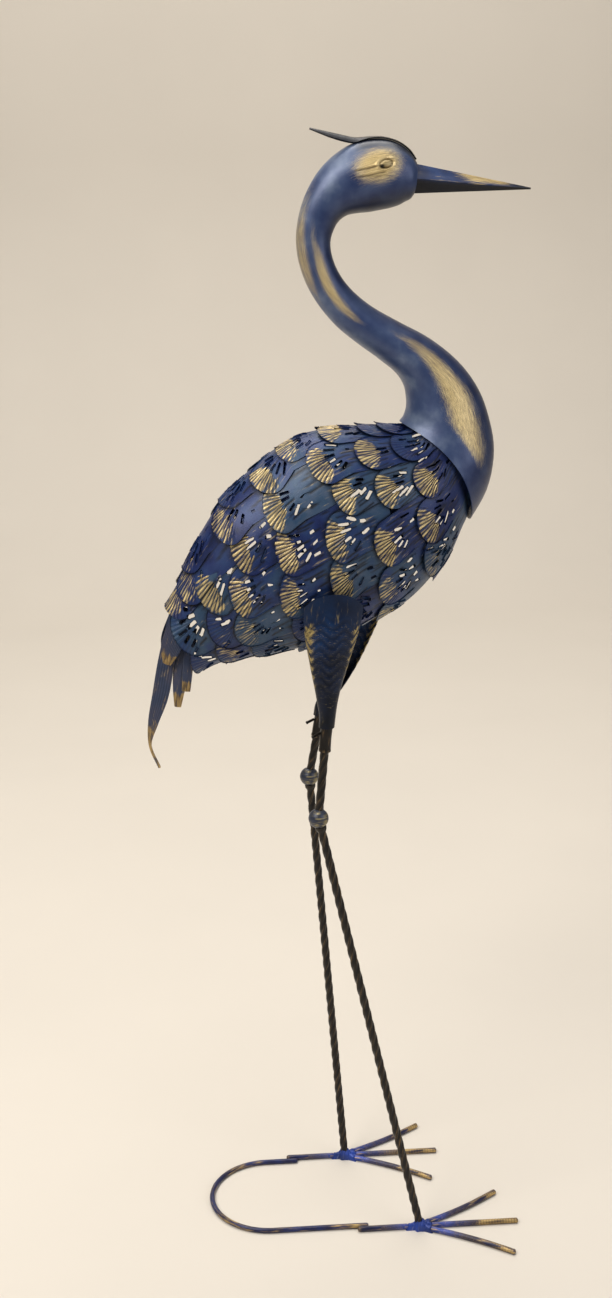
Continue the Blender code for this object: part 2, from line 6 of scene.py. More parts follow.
import bpy
import numpy as np
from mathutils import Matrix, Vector


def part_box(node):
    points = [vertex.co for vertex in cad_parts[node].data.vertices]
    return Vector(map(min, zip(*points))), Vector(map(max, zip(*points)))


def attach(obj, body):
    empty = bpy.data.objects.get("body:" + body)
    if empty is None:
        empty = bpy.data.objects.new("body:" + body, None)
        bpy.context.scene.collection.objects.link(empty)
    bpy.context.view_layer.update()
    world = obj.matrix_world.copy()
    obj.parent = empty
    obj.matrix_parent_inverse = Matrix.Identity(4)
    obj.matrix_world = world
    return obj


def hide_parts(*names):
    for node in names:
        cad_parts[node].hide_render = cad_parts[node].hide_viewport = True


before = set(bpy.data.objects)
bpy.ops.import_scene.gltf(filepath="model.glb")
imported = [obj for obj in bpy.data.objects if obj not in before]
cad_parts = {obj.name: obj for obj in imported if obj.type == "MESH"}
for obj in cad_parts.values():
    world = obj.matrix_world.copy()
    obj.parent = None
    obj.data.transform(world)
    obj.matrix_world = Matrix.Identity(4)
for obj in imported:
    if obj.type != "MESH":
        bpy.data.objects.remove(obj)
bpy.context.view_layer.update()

# Stock sizes and the gap between neighbours, in metres
SHEET = 0.0010
GAP = 0.0003
LEG_ROD = 0.0086
TOE_ROD = 0.0060
LOOP_ROD = 0.0055
TWIST_PITCH = 0.056
SOCKET_CLEARANCE = 0.0004
SLEEVE_CLEARANCE = 0.0008

# Neck and head: x, height above the mouth, tilt of the section, half height and half width of each station
MOUTH_HEIGHT = 0.7940
NECK_STATIONS = (
    (0.0930, 0.0000, 126.0, 0.0587, 0.0485),
    (0.1030, 0.0180, 140.0, 0.0535, 0.0455),
    (0.1070, 0.0400, 155.0, 0.0470, 0.0415),
    (0.1040, 0.0610, 166.0, 0.0410, 0.0372),
    (0.0970, 0.0805, 176.0, 0.0360, 0.0335),
    (0.0830, 0.0990, 188.0, 0.0308, 0.0295),
    (0.0605, 0.1165, 202.0, 0.0255, 0.0250),
    (0.0370, 0.1305, 208.0, 0.0216, 0.0214),
    (0.0136, 0.1460, 210.0, 0.0186, 0.0184),
    (-0.0040, 0.1630, 207.0, 0.0167, 0.0165),
    (-0.0155, 0.1800, 198.0, 0.0160, 0.0158),
    (-0.0222, 0.1970, 187.0, 0.0158, 0.0156),
    (-0.0245, 0.2130, 175.0, 0.0160, 0.0157),
    (-0.0225, 0.2270, 165.0, 0.0170, 0.0163),
    (-0.0177, 0.2400, 152.0, 0.0188, 0.0174),
    (-0.0100, 0.2510, 139.0, 0.0220, 0.0192),
    (0.0000, 0.2590, 129.0, 0.0263, 0.0213),
    (0.0110, 0.2650, 121.0, 0.0298, 0.0230),
    (0.0230, 0.2700, 115.0, 0.0318, 0.0240),
    (0.0360, 0.2732, 109.0, 0.0318, 0.0238),
    (0.0480, 0.2745, 103.0, 0.0295, 0.0220),
    (0.0570, 0.2740, 97.0, 0.0255, 0.0192),
    (0.0645, 0.2715, 91.0, 0.0205, 0.0160),
    (0.0690, 0.2690, 85.5, 0.0145, 0.0122),
)
FRONT_OF_HEAD = len(NECK_STATIONS) - 1
BACK_OF_HEAD = 16.5
MOUTH_SADDLE = 0.016
MOUTH_SADDLE_REACH = 0.050

# Body: an egg about a straight sloping axis, as shares of its length and in metres
BODY_PITCH = 33.7
BODY_LENGTH = 0.300
BODY_PROFILE = (
    (-0.12, 0.0425),
    (0.00, 0.0540),
    (0.10, 0.0720),
    (0.20, 0.0867),
    (0.30, 0.0945),
    (0.40, 0.0938),
    (0.52, 0.0900),
    (0.63, 0.0822),
    (0.74, 0.0668),
    (0.86, 0.0475),
    (0.94, 0.0358),
    (1.00, 0.0300),
    (1.10, 0.0220),
)
BODY_BOW = (
    (-0.12, -0.0015),
    (0.00, -0.0015),
    (0.10, -0.0010),
    (0.20, 0.0030),
    (0.33, 0.0065),
    (0.70, 0.0066),
    (0.90, 0.0030),
    (1.00, 0.0),
    (1.10, 0.0),
)
BODY_WIDTH_SHARES = ((-0.12, 0.90), (0.0, 0.84), (0.35, 0.68), (0.70, 0.70), (1.0, 0.84), (1.1, 0.86))
NECK_RISE = 0.40

# Feathers: rows as in the solids, and the pressed pattern of one leaf
ROW_TIPS = tuple(BODY_LENGTH * share for share in (0.133, 0.273, 0.413, 0.560, 0.707, 0.853, 0.990))
ROW_LEANS = (0.22, 0.42, 0.45, 0.42, 0.34, 0.22, 0.08)
FEATHER_LIFT = 0.0034
FEATHER_CROWN = 0.0013
FIRST_ROW_TUCK = 0.009
ROW_OVERLAP = 0.022
LEAF_WIDTH = 0.0455
TIP_DEPTH = 0.017
FAN_REACH = 0.034
RIDGES = 24
RIDGE_HEIGHT = 0.0009
POINTS_A_RIDGE = 5
FAN_STEPS = 22
ROOT_STEPS = 10
ROOT_SPREAD = 0.10
SHINGLE_SLOPE = 0.036
# half width of the painted shadow along the edges of the leaves lying over a leaf
LAP_SHADE = 0.0016
# The ridged and gilded oval: its middle ahead of the fan's centre, half width and half depth
GILT_MIDDLE = 0.0242
GILT_HALF = (0.0200, 0.0108)
# Leaves of each row on the right side of the body, mirrored to the left: degrees round from the top line,
# how many millimetres the tip stands behind the row's own line, degrees it is turned, and its gold
LEAVES = (
    (
        (352, 0, 0, 0.0),
        (316, -4, 0, 0.0),
        (278, -12, 8, 1.0),
        (250, 0, 0, 0.9),
        (222, 8, -6, 0.45),
        (194, 4, 0, 0.2),
    ),
    (
        (350, -4, 0, 0.35),
        (315, 1, 5, 0.9),
        (285, -12, 6, 1.0),
        (255, -2, 6, 0.95),
        (227, 2, 2, 0.5),
        (197, 8, -4, 0.6),
    ),
    (
        (347, -10, 0, 0.9),
        (316, 5, 10, 1.0),
        (293, -13, 6, 1.0),
        (273, 3, -3, 1.0),
        (250, 5, 6, 0.95),
        (222, 0, -5, 0.2),
        (196, 4, 0, 0.3),
    ),
    (
        (348, -16, 0, 0.8),
        (331, 14, 26, 1.0),
        (307, 11, 4, 0.95),
        (283, 10, -5, 1.0),
        (259, 16, -8, 0.85),
        (232, 8, 5, 0.1),
        (204, 4, 0, 0.3),
    ),
    (
        (354, 0, 0, 0.2),
        (327, 14, 10, 0.7),
        (302, 4, -4, 1.0),
        (276, 20, 3, 1.0),
        (248, 24, 8, 0.55),
        (220, 12, 0, 0.3),
        (192, 6, 0, 0.3),
    ),
    (
        (356, 8, 0, 0.3),
        (327, 22, 6, 0.6),
        (298, 2, 8, 0.9),
        (262, 8, 0, 0.15),
        (228, 10, -4, 0.5),
        (196, 6, 0, 0.4),
    ),
    ((345, -6, 0, 0.7), (282, 0, 4, 0.0), (216, 2, 0, 0.3)),
)
# Punched slots: width, nearest end to the fan's centre, length, degrees from the leaf's middle, share of
# those degrees that a slot is turned, least distance from slot to slot, width of the painted shade along
# the rim of a leaf's tip, and share of the places that are punched
SLOT_WIDTH = (0.0018, 0.0027)
SLOT_START = (0.0050, 0.0100)
SLOT_LENGTH = (0.0065, 0.0120)
SLOT_ANGLES = (-68.0, -40.0, -13.0, 14.0, 41.0, 67.0)
SLOT_FAN = 0.5
SLOT_APART = 0.0038
TIP_RIM_SHADE = 0.0006
SLOT_SHARE = 0.94
# Slots before the fan on every leaf, and in the tip of a leaf with less gold than BARE_GOLD
ROOT_SLOTS = (-0.0135, -0.0045, 0.0050, 0.0140)
TIP_SLOTS = (-0.0150, -0.0090, -0.0030, 0.0030, 0.0090, 0.0150)
BARE_GOLD = 0.5
LEAST_ROOT = 0.012
LEAF_SEED = 11
# Creases: how many on a leaf, their length and half width, how they spread towards the tip, and their depth
CREASES = 11
CREASE_LENGTH = (0.010, 0.026)
LEAF_CREASE_WIDTH = 0.0010
CREASE_FAN = 9.0
CREASE_DEPTH = 0.0003
# A sheet that the line of sight meets at a flatter slant than this stays closed
SLANTED_SIGHT = 0.42

BODY_AXIS = Vector((-math.cos(math.radians(BODY_PITCH)), 0, -math.sin(math.radians(BODY_PITCH))))
BODY_UP = Vector((-math.sin(math.radians(BODY_PITCH)), 0, math.cos(math.radians(BODY_PITCH))))
SIDE = Vector((0, 1, 0))
MOUTH = Vector((NECK_STATIONS[0][0], 0, MOUTH_HEIGHT))
TAIL_ROOT = MOUTH + BODY_AXIS * BODY_LENGTH

# Camera, where the photograph was taken from
CAMERA_PLACE = Vector((-0.1655, -1.49595, 1.0379))
CAMERA_AZIMUTH = -5.134
CAMERA_PITCH = 15.60
PHOTO_SIZE = (612, 1298)
FOCAL_PIXELS = 1582.6
SENSOR = 36.0


# Helpers


def linear(code):
    """An sRGB hex colour as linear red, green, blue and alpha."""
    parts = [int(code[i : i + 2], 16) / 255 for i in (1, 3, 5)]
    return [c / 12.92 if c <= 0.04045 else ((c + 0.055) / 1.055) ** 2.4 for c in parts] + [1.0]


def smooth(points, x):
    """Smooth values at x through rows of (x, value, ...), one column of values after another."""
    table = np.array(points, float)
    xs, ys = table[:, 0], table[:, 1:]
    slopes = np.empty_like(ys)
    slopes[1:-1] = (ys[2:] - ys[:-2]) / (xs[2:] - xs[:-2])[:, None]
    slopes[0] = (ys[1] - ys[0]) / (xs[1] - xs[0])
    slopes[-1] = (ys[-1] - ys[-2]) / (xs[-1] - xs[-2])
    x = np.clip(np.asarray(x, float), xs[0], xs[-1])
    i = np.clip(np.searchsorted(xs, x, side="right") - 1, 0, len(xs) - 2)
    span = (xs[i + 1] - xs[i])[..., None]
    u = (x - xs[i])[..., None] / span
    values = (
        ys[i] * (2 * u**3 - 3 * u**2 + 1)
        + slopes[i] * span * (u**3 - 2 * u**2 + u)
        + ys[i + 1] * (3 * u**2 - 2 * u**3)
        + slopes[i + 1] * span * (u**3 - u**2)
    )
    return values[..., 0] if values.shape[-1] == 1 else values


def ramp(value, low, high):
    """0 below low, 1 above high, and a soft step between them."""
    u = np.clip((np.asarray(value, float) - low) / (high - low), 0, 1)
    return u * u * (3 - 2 * u)


def grid_cells(rows, columns, ring=False):
    """The four corners of each cell of a grid of points; in a ring the last column meets the first."""
    i, j = np.meshgrid(np.arange(rows - 1), np.arange(columns if ring else columns - 1), indexing="ij")
    k = (j + 1) % columns
    corners = (i * columns + j, i * columns + k, (i + 1) * columns + k, (i + 1) * columns + j)
    return np.stack(corners, -1).reshape(-1, 4)


def make_piece(
    name, points, cells, finish, nodes, marks, wall=0.0, offset=0.0, crease=60.0, caps=(), rim_only=False
):
    """A piece from points and cells, given a wall if asked, that stands for its CAD nodes.
    Its marks tell the finish where gold was rubbed on and which way the brush went."""
    mesh = bpy.data.meshes.new(name)
    faces = [[k for k in cell if k >= 0] for cell in cells.tolist()] + [list(cap) for cap in caps]
    mesh.from_pydata(np.asarray(points).reshape(-1, 3).tolist(), [], faces)
    for mark, values in marks.items():
        layer = mesh.attributes.new(mark, "FLOAT", "POINT")
        spread_out = np.broadcast_to(values, len(mesh.vertices))
        layer.data.foreach_set("value", spread_out.astype(np.float32).ravel())
    piece = bpy.data.objects.new(name, mesh)
    bpy.context.scene.collection.objects.link(piece)
    mesh.materials.append(finish)
    if wall:
        sheet = piece.modifiers.new("sheet", "SOLIDIFY")
        sheet.thickness = wall
        sheet.offset = offset
        sheet.use_rim_only = rim_only
        graph = bpy.context.evaluated_depsgraph_get()
        walled = bpy.data.meshes.new_from_object(
            piece.evaluated_get(graph), preserve_all_data_layers=True, depsgraph=graph
        )
        piece.modifiers.clear()
        piece.data = walled
        bpy.data.meshes.remove(mesh)
        piece.data.name = name
    piece.data.shade_smooth()
    piece.data.set_sharp_from_angle(angle=math.radians(crease))
    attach(piece, "root")
    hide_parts(*nodes)
    return piece


def middle_of(node):
    """The middle of a CAD node's box."""
    low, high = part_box(node)
    return (low + high) / 2


# Finishes


def add(tree, kind, inputs=None, **settings):
    """Adds a node, sets its properties, and sets or links its inputs by name or number."""
    made = tree.nodes.new("ShaderNode" + kind)
    for key, value in settings.items():
        setattr(made, key, value)
    for key, value in (inputs or {}).items():
        if isinstance(value, bpy.types.NodeSocket):
            tree.links.new(value, made.inputs[key])
        else:
            made.inputs[key].default_value = value
    return made


def scaled_sum(tree, value, factor, rest):
    """The value times the factor, plus the rest."""
    return add(tree, "Math", {0: value, 1: factor, 2: rest}, operation="MULTIPLY_ADD").outputs[0]


def blended(tree, share, below, above):
    """One colour laid over another."""
    return add(tree, "Mix", {0: share, 6: below, 7: above}, data_type="RGBA").outputs[2]


# Near-black that the shade mark lays over the paint: mostly painted shade in laps, grooves, creases and on undersides,
# and also the dark of the pupil, the crest and the head's top
DARK_PAINT_AND_SHADE = "#06080E"


def rubbed_enamel(
    name, slot, coats, gilding, rub=0.0, stroke=0.0016, roughness=0.38, metal=0.20, coat=0.15, streak=3.4
):
    """Sprayed satin enamel on steel with gold paint dragged over it with a nearly dry brush.
    It gives the eye a soft sheen in mottled blue, and streaks of gold that catch on whatever stands proud. Its shade
    mark lays painted shade over it in near-black."""
    made = bpy.data.materials.new(name)
    made.use_nodes = True
    made["slot"] = slot
    tree = made.node_tree
    shader = tree.nodes["Principled BSDF"]
    shader.inputs["Coat Weight"].default_value = coat
    shader.inputs["Specular IOR Level"].default_value = 0.32
    shader.inputs["Coat Roughness"].default_value = 0.35
    place = add(tree, "TexCoord").outputs["Object"]
    along, around, gold, shade, tone = (
        add(tree, "Attribute", attribute_name=mark).outputs["Fac"]
        for mark in ("along", "around", "gold", "shade", "tone")
    )
    # the brush drags its strokes out to about eight times their width
    lengthwise = add(tree, "Math", {0: along, 1: 0.12}, operation="MULTIPLY").outputs[0]
    brush = add(tree, "CombineXYZ", {0: around, 1: lengthwise, 2: tone}).outputs[0]
    bristles = {"Vector": brush, "Scale": 1 / (2 * stroke), "Detail": 4.0, "Roughness": 0.6}
    strokes = add(tree, "TexNoise", bristles).outputs["Fac"]
    # sprayed coats cloud over about 20 mm, and the primer's grain is drawn at 1 mm so that it shows
    clouds = add(tree, "TexNoise", {"Vector": place, "Scale": 1 / 0.020, "Detail": 3.0}).outputs["Fac"]
    grain = add(tree, "TexNoise", {"Vector": place, "Scale": 1 / 0.0010, "Detail": 2.0}).outputs["Fac"]
    reach = scaled_sum(tree, gold, 1.30, rub - 0.30 - streak / 2)
    caught = scaled_sum(tree, strokes, streak, reach)
    rubbed = add(tree, "MapRange", {"Value": caught}, interpolation_type="SMOOTHSTEP").outputs[0]
    layers = scaled_sum(tree, tone, 0.55, clouds)
    layers = add(tree, "MapRange", {"Value": layers, "From Min": 0.28, "From Max": 1.25}).outputs[0]
    blue = add(tree, "ValToRGB", {0: layers})
    while len(blue.color_ramp.elements) < len(coats):
        blue.color_ramp.elements.new(0.5)
    for k, code in enumerate(coats):
        blue.color_ramp.elements[k].position = k / (len(coats) - 1)
        blue.color_ramp.elements[k].color = linear(code)
    share = add(tree, "MapRange", {"Value": strokes, "From Min": 0.36, "From Max": 0.64}).outputs[0]
    gilt = blended(tree, share, linear(gilding[0]), linear(gilding[1]))
    painted = blended(tree, rubbed, blue.outputs["Color"], gilt)
    # the shade mark lays near-black over the paint: painted shade, and the dark of pupil and crest
    shaded_paint = blended(tree, shade, painted, linear(DARK_PAINT_AND_SHADE))
    tree.links.new(shaded_paint, shader.inputs["Base Color"])
    metallic = add(tree, "MapRange", {"Value": rubbed, "To Min": metal, "To Max": 0.65}).outputs[0]
    tree.links.new(metallic, shader.inputs["Metallic"])
    dull = scaled_sum(tree, grain, 0.16, roughness - 0.08)
    tree.links.new(scaled_sum(tree, rubbed, 0.10, dull), shader.inputs["Roughness"])
    relief = scaled_sum(tree, strokes, rubbed, grain)
    bump = add(tree, "Bump", {"Height": relief, "Strength": 0.30, "Distance": 0.0004})
    tree.links.new(bump.outputs["Normal"], shader.inputs["Normal"])
    return made


# Neck and head


def neck_section(u):
    """Centres, directions towards the back line, half heights and half widths at station numbers u."""
    rows = [(k, *station) for k, station in enumerate(NECK_STATIONS)]
    x, z, tilt, half_height, half_width = np.moveaxis(smooth(rows, u), -1, 0)
    tilt = np.radians(tilt)
    centre = np.stack([x, 0 * x, MOUTH_HEIGHT + z], -1)
    direction = np.stack([np.cos(tilt), 0 * x, np.sin(tilt)], -1)
    return centre, direction, half_height, half_width


# Where gold was brushed on the neck: station, how far towards the back line, half width of the patch, strength
CHEST_GOLD = (
    (1.0, -0.47, 0.10, 0.2),
    (1.5, -0.33, 0.36, 0.75),
    (2.2, -0.24, 0.50, 0.90),
    (3.1, -0.22, 0.52, 0.92),
    (4.1, -0.20, 0.50, 0.95),
    (4.9, -0.24, 0.42, 0.86),
    (5.7, -0.34, 0.34, 0.70),
    (6.5, -0.40, 0.24, 0.45),
    (7.3, -0.40, 0.10, 0.0),
)
THROAT_GOLD = (
    (7.4, 0.04, 0.10, 0.1),
    (8.1, 0.09, 0.28, 0.6),
    (8.9, 0.06, 0.38, 0.78),
    (9.8, -0.02, 0.42, 0.82),
    (10.6, -0.12, 0.44, 0.76),
    (11.4, -0.12, 0.40, 0.6),
    (12.3, 0.10, 0.28, 0.4),
    (13.6, 0.30, 0.20, 0.15),
    (15.0, 0.40, 0.10, 0.0),
)
NAPE_GOLD = (
    (8.6, 0.90, 0.10, 0.0),
    (9.8, 0.84, 0.34, 0.50),
    (11.0, 0.80, 0.46, 0.66),
    (12.4, 0.84, 0.42, 0.60),
    (14.0, 0.90, 0.30, 0.40),
    (16.5, 0.92, 0.15, 0.0),
)
# The eye and the gilded cheek, in the side view
EYE = (0.0395, 1.0755)
EYE_TILT = 11.0
EYE_HALF = (0.0056, 0.0032)
CHEEK = (0.0325, 1.0745)
CHEEK_TILT = 14.0
CHEEK_HALF = (0.0310, 0.0215)
# Creases behind the eye: height at the eye, fall a metre back, start and end behind the eye, depth
LID_CREASES = (
    (-0.0008, 0.01, -0.0072, -0.0310, 0.00070),
    (-0.0067, 0.01, -0.0010, -0.0290, 0.00070),
    (-0.0100, -0.10, 0.0010, -0.0230, 0.00030),
    (0.0052, 0.16, 0.0050, -0.0120, 0.00030),
)
CREASE_WIDTH = 0.0008
NECK_SIDES = 232


def turned(x, z, place, tilt):
    """Side-view offsets from a place, turned to run along and across a tilted line."""
    c, s = math.cos(math.radians(tilt)), math.sin(math.radians(tilt))
    return (x - place[0]) * c + (z - place[1]) * s, (z - place[1]) * c - (x - place[0]) * s


def eye_relief(x, z):
    """How far the sheet is pressed out round the eye, and how dark it lies there: the pupil and the eye, with painted
    shade in the groove round the eye and in the creases.
    """
    ahead, above = turned(x, z, EYE, EYE_TILT)
    q = np.hypot(ahead / EYE_HALF[0], above / EYE_HALF[1])
    pressed = 0.0015 * np.sqrt(np.clip(1 - q * q, 0, 1))
    pressed += 0.0009 * np.exp(-(((q - 1.55) / 0.24) ** 2)) - 0.0008 * np.exp(-(((q - 1.12) / 0.14) ** 2))
    corner = np.exp(-(((ahead + 0.0044) / 0.0021) ** 2) - ((above + 0.0016) / 0.0017) ** 2)
    # painted shade in the groove round the eye; the pupil dark at the rear corner, and the eye a little darker
    dark = 0.48 * np.exp(-(((q - 1.12) / 0.18) ** 2)) + 0.95 * corner + 0.35 * (q < 1)
    for height, fall, start, end, depth in LID_CREASES:
        line = height + fall * ahead
        window = ramp(ahead, end, end + 0.006) * (1 - ramp(ahead, start - 0.003, start))
        groove = np.exp(-(((above - line) / CREASE_WIDTH) ** 2)) * window
        brow = np.exp(-(((above - line - 2 * CREASE_WIDTH) / CREASE_WIDTH) ** 2)) * window
        pressed += depth * (0.6 * brow - groove)
        # painted shade along each crease
        dark += 0.5 * groove * depth / 0.00055
    return pressed, np.clip(dark, 0, 1)


def brushed_patch(u, back, patch):
    """Strength of a brushed patch at station u and share of the half height towards the back line."""
    centre, half, strength = np.moveaxis(smooth(patch, u), -1, 0)
    inside = (u > patch[0][0]) & (u < patch[-1][0])
    return np.where(inside, strength * (1 - ramp(np.abs(back - centre) / np.maximum(half, 0.01), 0.15, 1.3)), 0)


def make_neck(finish):
    """The hollow neck and head, open over the chest and flat at the front, with the pressed eyes."""
    u = np.concatenate([np.arange(0, BACK_OF_HEAD, 0.22), np.arange(BACK_OF_HEAD, FRONT_OF_HEAD, 0.07), [FRONT_OF_HEAD]])
    a = 2 * np.pi * np.arange(NECK_SIDES) / NECK_SIDES
    centre, direction, high, wide = neck_section(u)
    back, flank = np.cos(a), np.sin(a)
    points = (
        centre[:, None]
        + direction[:, None] * (high[:, None] * back)[..., None]
        + np.array(SIDE) * (wide[:, None] * flank)[..., None]
    )
    reach = np.clip(1 - np.linalg.norm(centre - np.array(MOUTH), axis=1) / MOUTH_SADDLE_REACH, 0, 1)
    points -= np.array(BODY_AXIS) * (MOUTH_SADDLE * reach[:, None] * flank**2)[..., None]
    outward = direction[:, None] * back[:, None] + np.array(SIDE) * flank[:, None]
    x, z = points[..., 0], points[..., 2]
    pressed, dark = eye_relief(x, z)
    on_flank = ramp(np.abs(flank), 0.35, 0.6) * (u > BACK_OF_HEAD)[:, None]
    points += outward * (pressed * on_flank)[..., None]
    along = np.concatenate([[0], np.cumsum(np.linalg.norm(np.diff(centre, axis=0), axis=1))])
    stations = np.broadcast_to(u[:, None], x.shape)
    gold = sum(brushed_patch(stations, back + 0 * x, patch) for patch in (CHEST_GOLD, THROAT_GOLD, NAPE_GOLD))
    ahead, above = turned(x, z, CHEEK, CHEEK_TILT)
    cheek = 1 - ramp(np.hypot(ahead / CHEEK_HALF[0], above / CHEEK_HALF[1]), 0.25, 1.15)
    gold = np.clip(gold + cheek * ramp(np.abs(flank), 0.3, 0.7) * (u > BACK_OF_HEAD - 2)[:, None], 0, 1)
    crown = 0.85 * ramp(back, 0.62, 0.86) * ramp(u, 17.6, 18.6)[:, None]
    # painted shade on the underside of the neck and head, strongest under the throat and chin
    underside_shade = 0.55 * ramp(-back, 0.35, 1.0) * ramp(u, 11.0, 15.0)[:, None] + 0.25 * ramp(-back, 0.2, 0.9)
    marks = {
        "along": np.broadcast_to(along[:, None], x.shape),
        "around": high[:, None] * np.abs(np.pi - a),
        "gold": gold,
        "shade": np.clip(np.maximum(dark * on_flank, np.maximum(crown, underside_shade)), 0, 1),
        # painted sheen: the coats grow lighter towards the back line
        "tone": 0.60 + 0.40 * back + 0 * x,
    }
    cells = grid_cells(len(u), NECK_SIDES, ring=True)
    last = (len(u) - 1) * NECK_SIDES
    marks = {name: np.ravel(values) for name, values in marks.items()}
    front = range(last, last + NECK_SIDES)
    make_piece("neck_and_head_sheet", points, cells[:, ::-1], finish, ["neck_and_head"], marks, SHEET, -1.0, caps=[front])


def make_beak(finish):
    """The folded spike: four flats between soft folds, a little sunk along their middles."""
    centre, direction, high, wide = (value[0] for value in neck_section(np.array([float(FRONT_OF_HEAD)])))
    up = Vector(direction)
    forward = SIDE.cross(up)
    base = Vector(centre) + forward * 0.0003
    low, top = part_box("beak")
    length = (top.x - base.x) / forward.x
    inset, tip_share, fold = 0.0012, 0.06, 0.10
    corners = []
    for k in range(4):
        for step in (-fold, 0.0, fold, 0.3, 0.5, 0.7):
            angle, share = (k + step) * math.pi / 2, abs((step + 0.5) % 1 - 0.5)
            straight = 1 / (abs(math.cos(angle)) + abs(math.sin(angle)))
            corners.append((angle, straight * (1 - 0.02 * math.exp(-((step / 0.05) ** 2)) - 0.05 * math.sin(math.pi * share))))
    rows, gold, shade, along, around = [], [], [], [], []
    steps = 30
    for i in range(steps + 1):
        s = i / steps
        size = 1 + (tip_share - 1) * s
        for angle, reach in corners:
            x_up, x_side = math.cos(angle) * reach, math.sin(angle) * reach
            rows.append(base + forward * (length * s) + up * ((high - inset) * size * x_up) + SIDE * ((wide - inset) * size * x_side))
            upper = max(0.0, x_up)
            middle_run = float(ramp(s, 0.28, 0.50) * (1 - ramp(s, 0.72, 0.90)))
            gold.append(1.3 * middle_run * (0.15 + upper) + 0.35 * math.exp(-((x_up / 0.08) ** 2)) * (1 - s))
            # painted shade on the lower flats; the spike also a little darker overall and darker towards its tip
            shade.append(min(1.0, 0.10 + 0.85 * float(ramp(-x_up, 0.0, 0.2)) + 0.8 * float(ramp(s, 0.72, 0.92))))
            along.append(length * s)
            around.append(0.02 * angle)
    cells = grid_cells(steps + 1, len(corners), ring=True)
    count = len(corners)
    caps = [range(count - 1, -1, -1), range(steps * count, (steps + 1) * count)]
    marks = {"along": along, "around": around, "gold": np.clip(gold, 0, 1), "shade": shade, "tone": 0.5}
    make_piece("beak_spike", rows, cells, finish, ["beak"], {k: np.array(v) for k, v in marks.items()}, crease=35.0, caps=caps)


# Crest: where it lies on the head, its free run above the mouth, and its half widths
CREST_ON_HEAD = (22.9, 21.9, 20.9, 19.9, 19.2)
CREST_FREE = ((0.0195, 0.3044), (0.0110, 0.3044), (-0.0070, 0.3081), (-0.0280, 0.3124))
CREST_HALF_WIDTHS = (0.0022, 0.0046, 0.0062, 0.0070, 0.0072, 0.0072, 0.0068, 0.0056, 0.0010)
CREST_CAMBERS = (0.0002, 0.0004, 0.0006, 0.0008, 0.0010, 0.0022, 0.0042, 0.0036, 0.0006)
CREST_CLEARANCE = 0.0016


def make_crest(finish):
    """The strip over the forehead and crown, with a rib along it, that lifts off into one pointed plume."""
    centre, direction, high, _ = neck_section(np.array(CREST_ON_HEAD))
    on_head = centre + direction * (high + CREST_CLEARANCE)[:, None]
    free = [(x, 0, MOUTH_HEIGHT + z) for x, z in CREST_FREE]
    spine_points = np.concatenate([on_head, free])
    table = [(k, *p, w, camber) for k, (p, w, camber) in enumerate(zip(spine_points, CREST_HALF_WIDTHS, CREST_CAMBERS))]
    u = np.linspace(0, len(table) - 1, 81)
    values = smooth(table, u)
    spine, half, camber = values[:, :3], values[:, 3], values[:, 4]
    ahead = np.gradient(spine, axis=0)
    up = np.cross(ahead, np.array(SIDE))
    up /= np.linalg.norm(up, axis=1)[:, None]
    up *= np.sign(up[:, 2:])
    c = np.linspace(-1, 1, 13)
    ragged = 1 - 0.10 * np.abs(np.sin(9.0 * u + 1.3) * np.sin(5.3 * u))
    rib = 0.0003 * np.exp(-((c / 0.16) ** 2))
    sink = c**2 * camber[:, None]
    points = (
        spine[:, None]
        + np.array(SIDE) * (half * ragged)[:, None, None] * c[None, :, None]
        + up[:, None] * (rib[None] - sink)[..., None]
    )
    length = np.concatenate([[0], np.cumsum(np.linalg.norm(np.diff(spine, axis=0), axis=1))])
    shape = points.shape[:2]
    marks = {
        "along": np.broadcast_to(length[:, None], shape).ravel(),
        "around": (half[:, None] * c).ravel(),
        "gold": np.zeros(points.shape[0] * points.shape[1]),
        # the crest strip's own black-brown paint, laid on with the shade mark
        "shade": np.full(shape, 0.92).ravel(),
        "tone": np.full(shape, 0.0).ravel(),
    }
    make_piece("crest_strip", points, grid_cells(*shape), finish, ["crest"], marks, SHEET, 0.0)


# Feathers


def body_half_height(t):
    """Half height of the egg, square to its axis, at the distance t from the mouth."""
    return smooth(BODY_PROFILE, t / BODY_LENGTH)


def body_half_width(t):
    """Half width of the egg at the distance t from the mouth."""
    return body_half_height(t) * smooth(BODY_WIDTH_SHARES, t / BODY_LENGTH)


def body_points(t, angle, lift):
    """Points over the egg, at angles from its top line; ahead of the mouth its middle follows the neck."""
    bow = smooth(BODY_BOW, t / BODY_LENGTH) + NECK_RISE * np.maximum(0, -t)
    up = (body_half_height(t) + lift) * np.cos(angle) + bow
    side = (body_half_width(t) + lift) * np.sin(angle)
    middle = np.array(MOUTH) + np.array(BODY_AXIS) * t[..., None]
    return middle + np.array(BODY_UP) * up[..., None] + np.array(SIDE) * side[..., None]


def tip_line(row, angle):
    """Where the tips of a row end; row -1 is the mouth of the neck."""
    if row < 0:
        return -MOUTH_SADDLE * np.sin(angle) ** 2
    return ROW_TIPS[row] - ROW_LEANS[row] * body_half_height(np.array(ROW_TIPS[row])) * np.cos(angle)


def girth_table(row):
    """Angles round the egg at a row's tips, and the girth up to each of them."""
    t = np.array(ROW_TIPS[row])
    high, wide = float(body_half_height(t)), float(body_half_width(t))
    angles = np.linspace(-np.pi, 3 * np.pi, 1441)
    step = np.hypot(high * np.sin(angles), wide * np.cos(angles)) * (angles[1] - angles[0])
    return angles, np.concatenate([[0], np.cumsum((step[1:] + step[:-1]) / 2)])


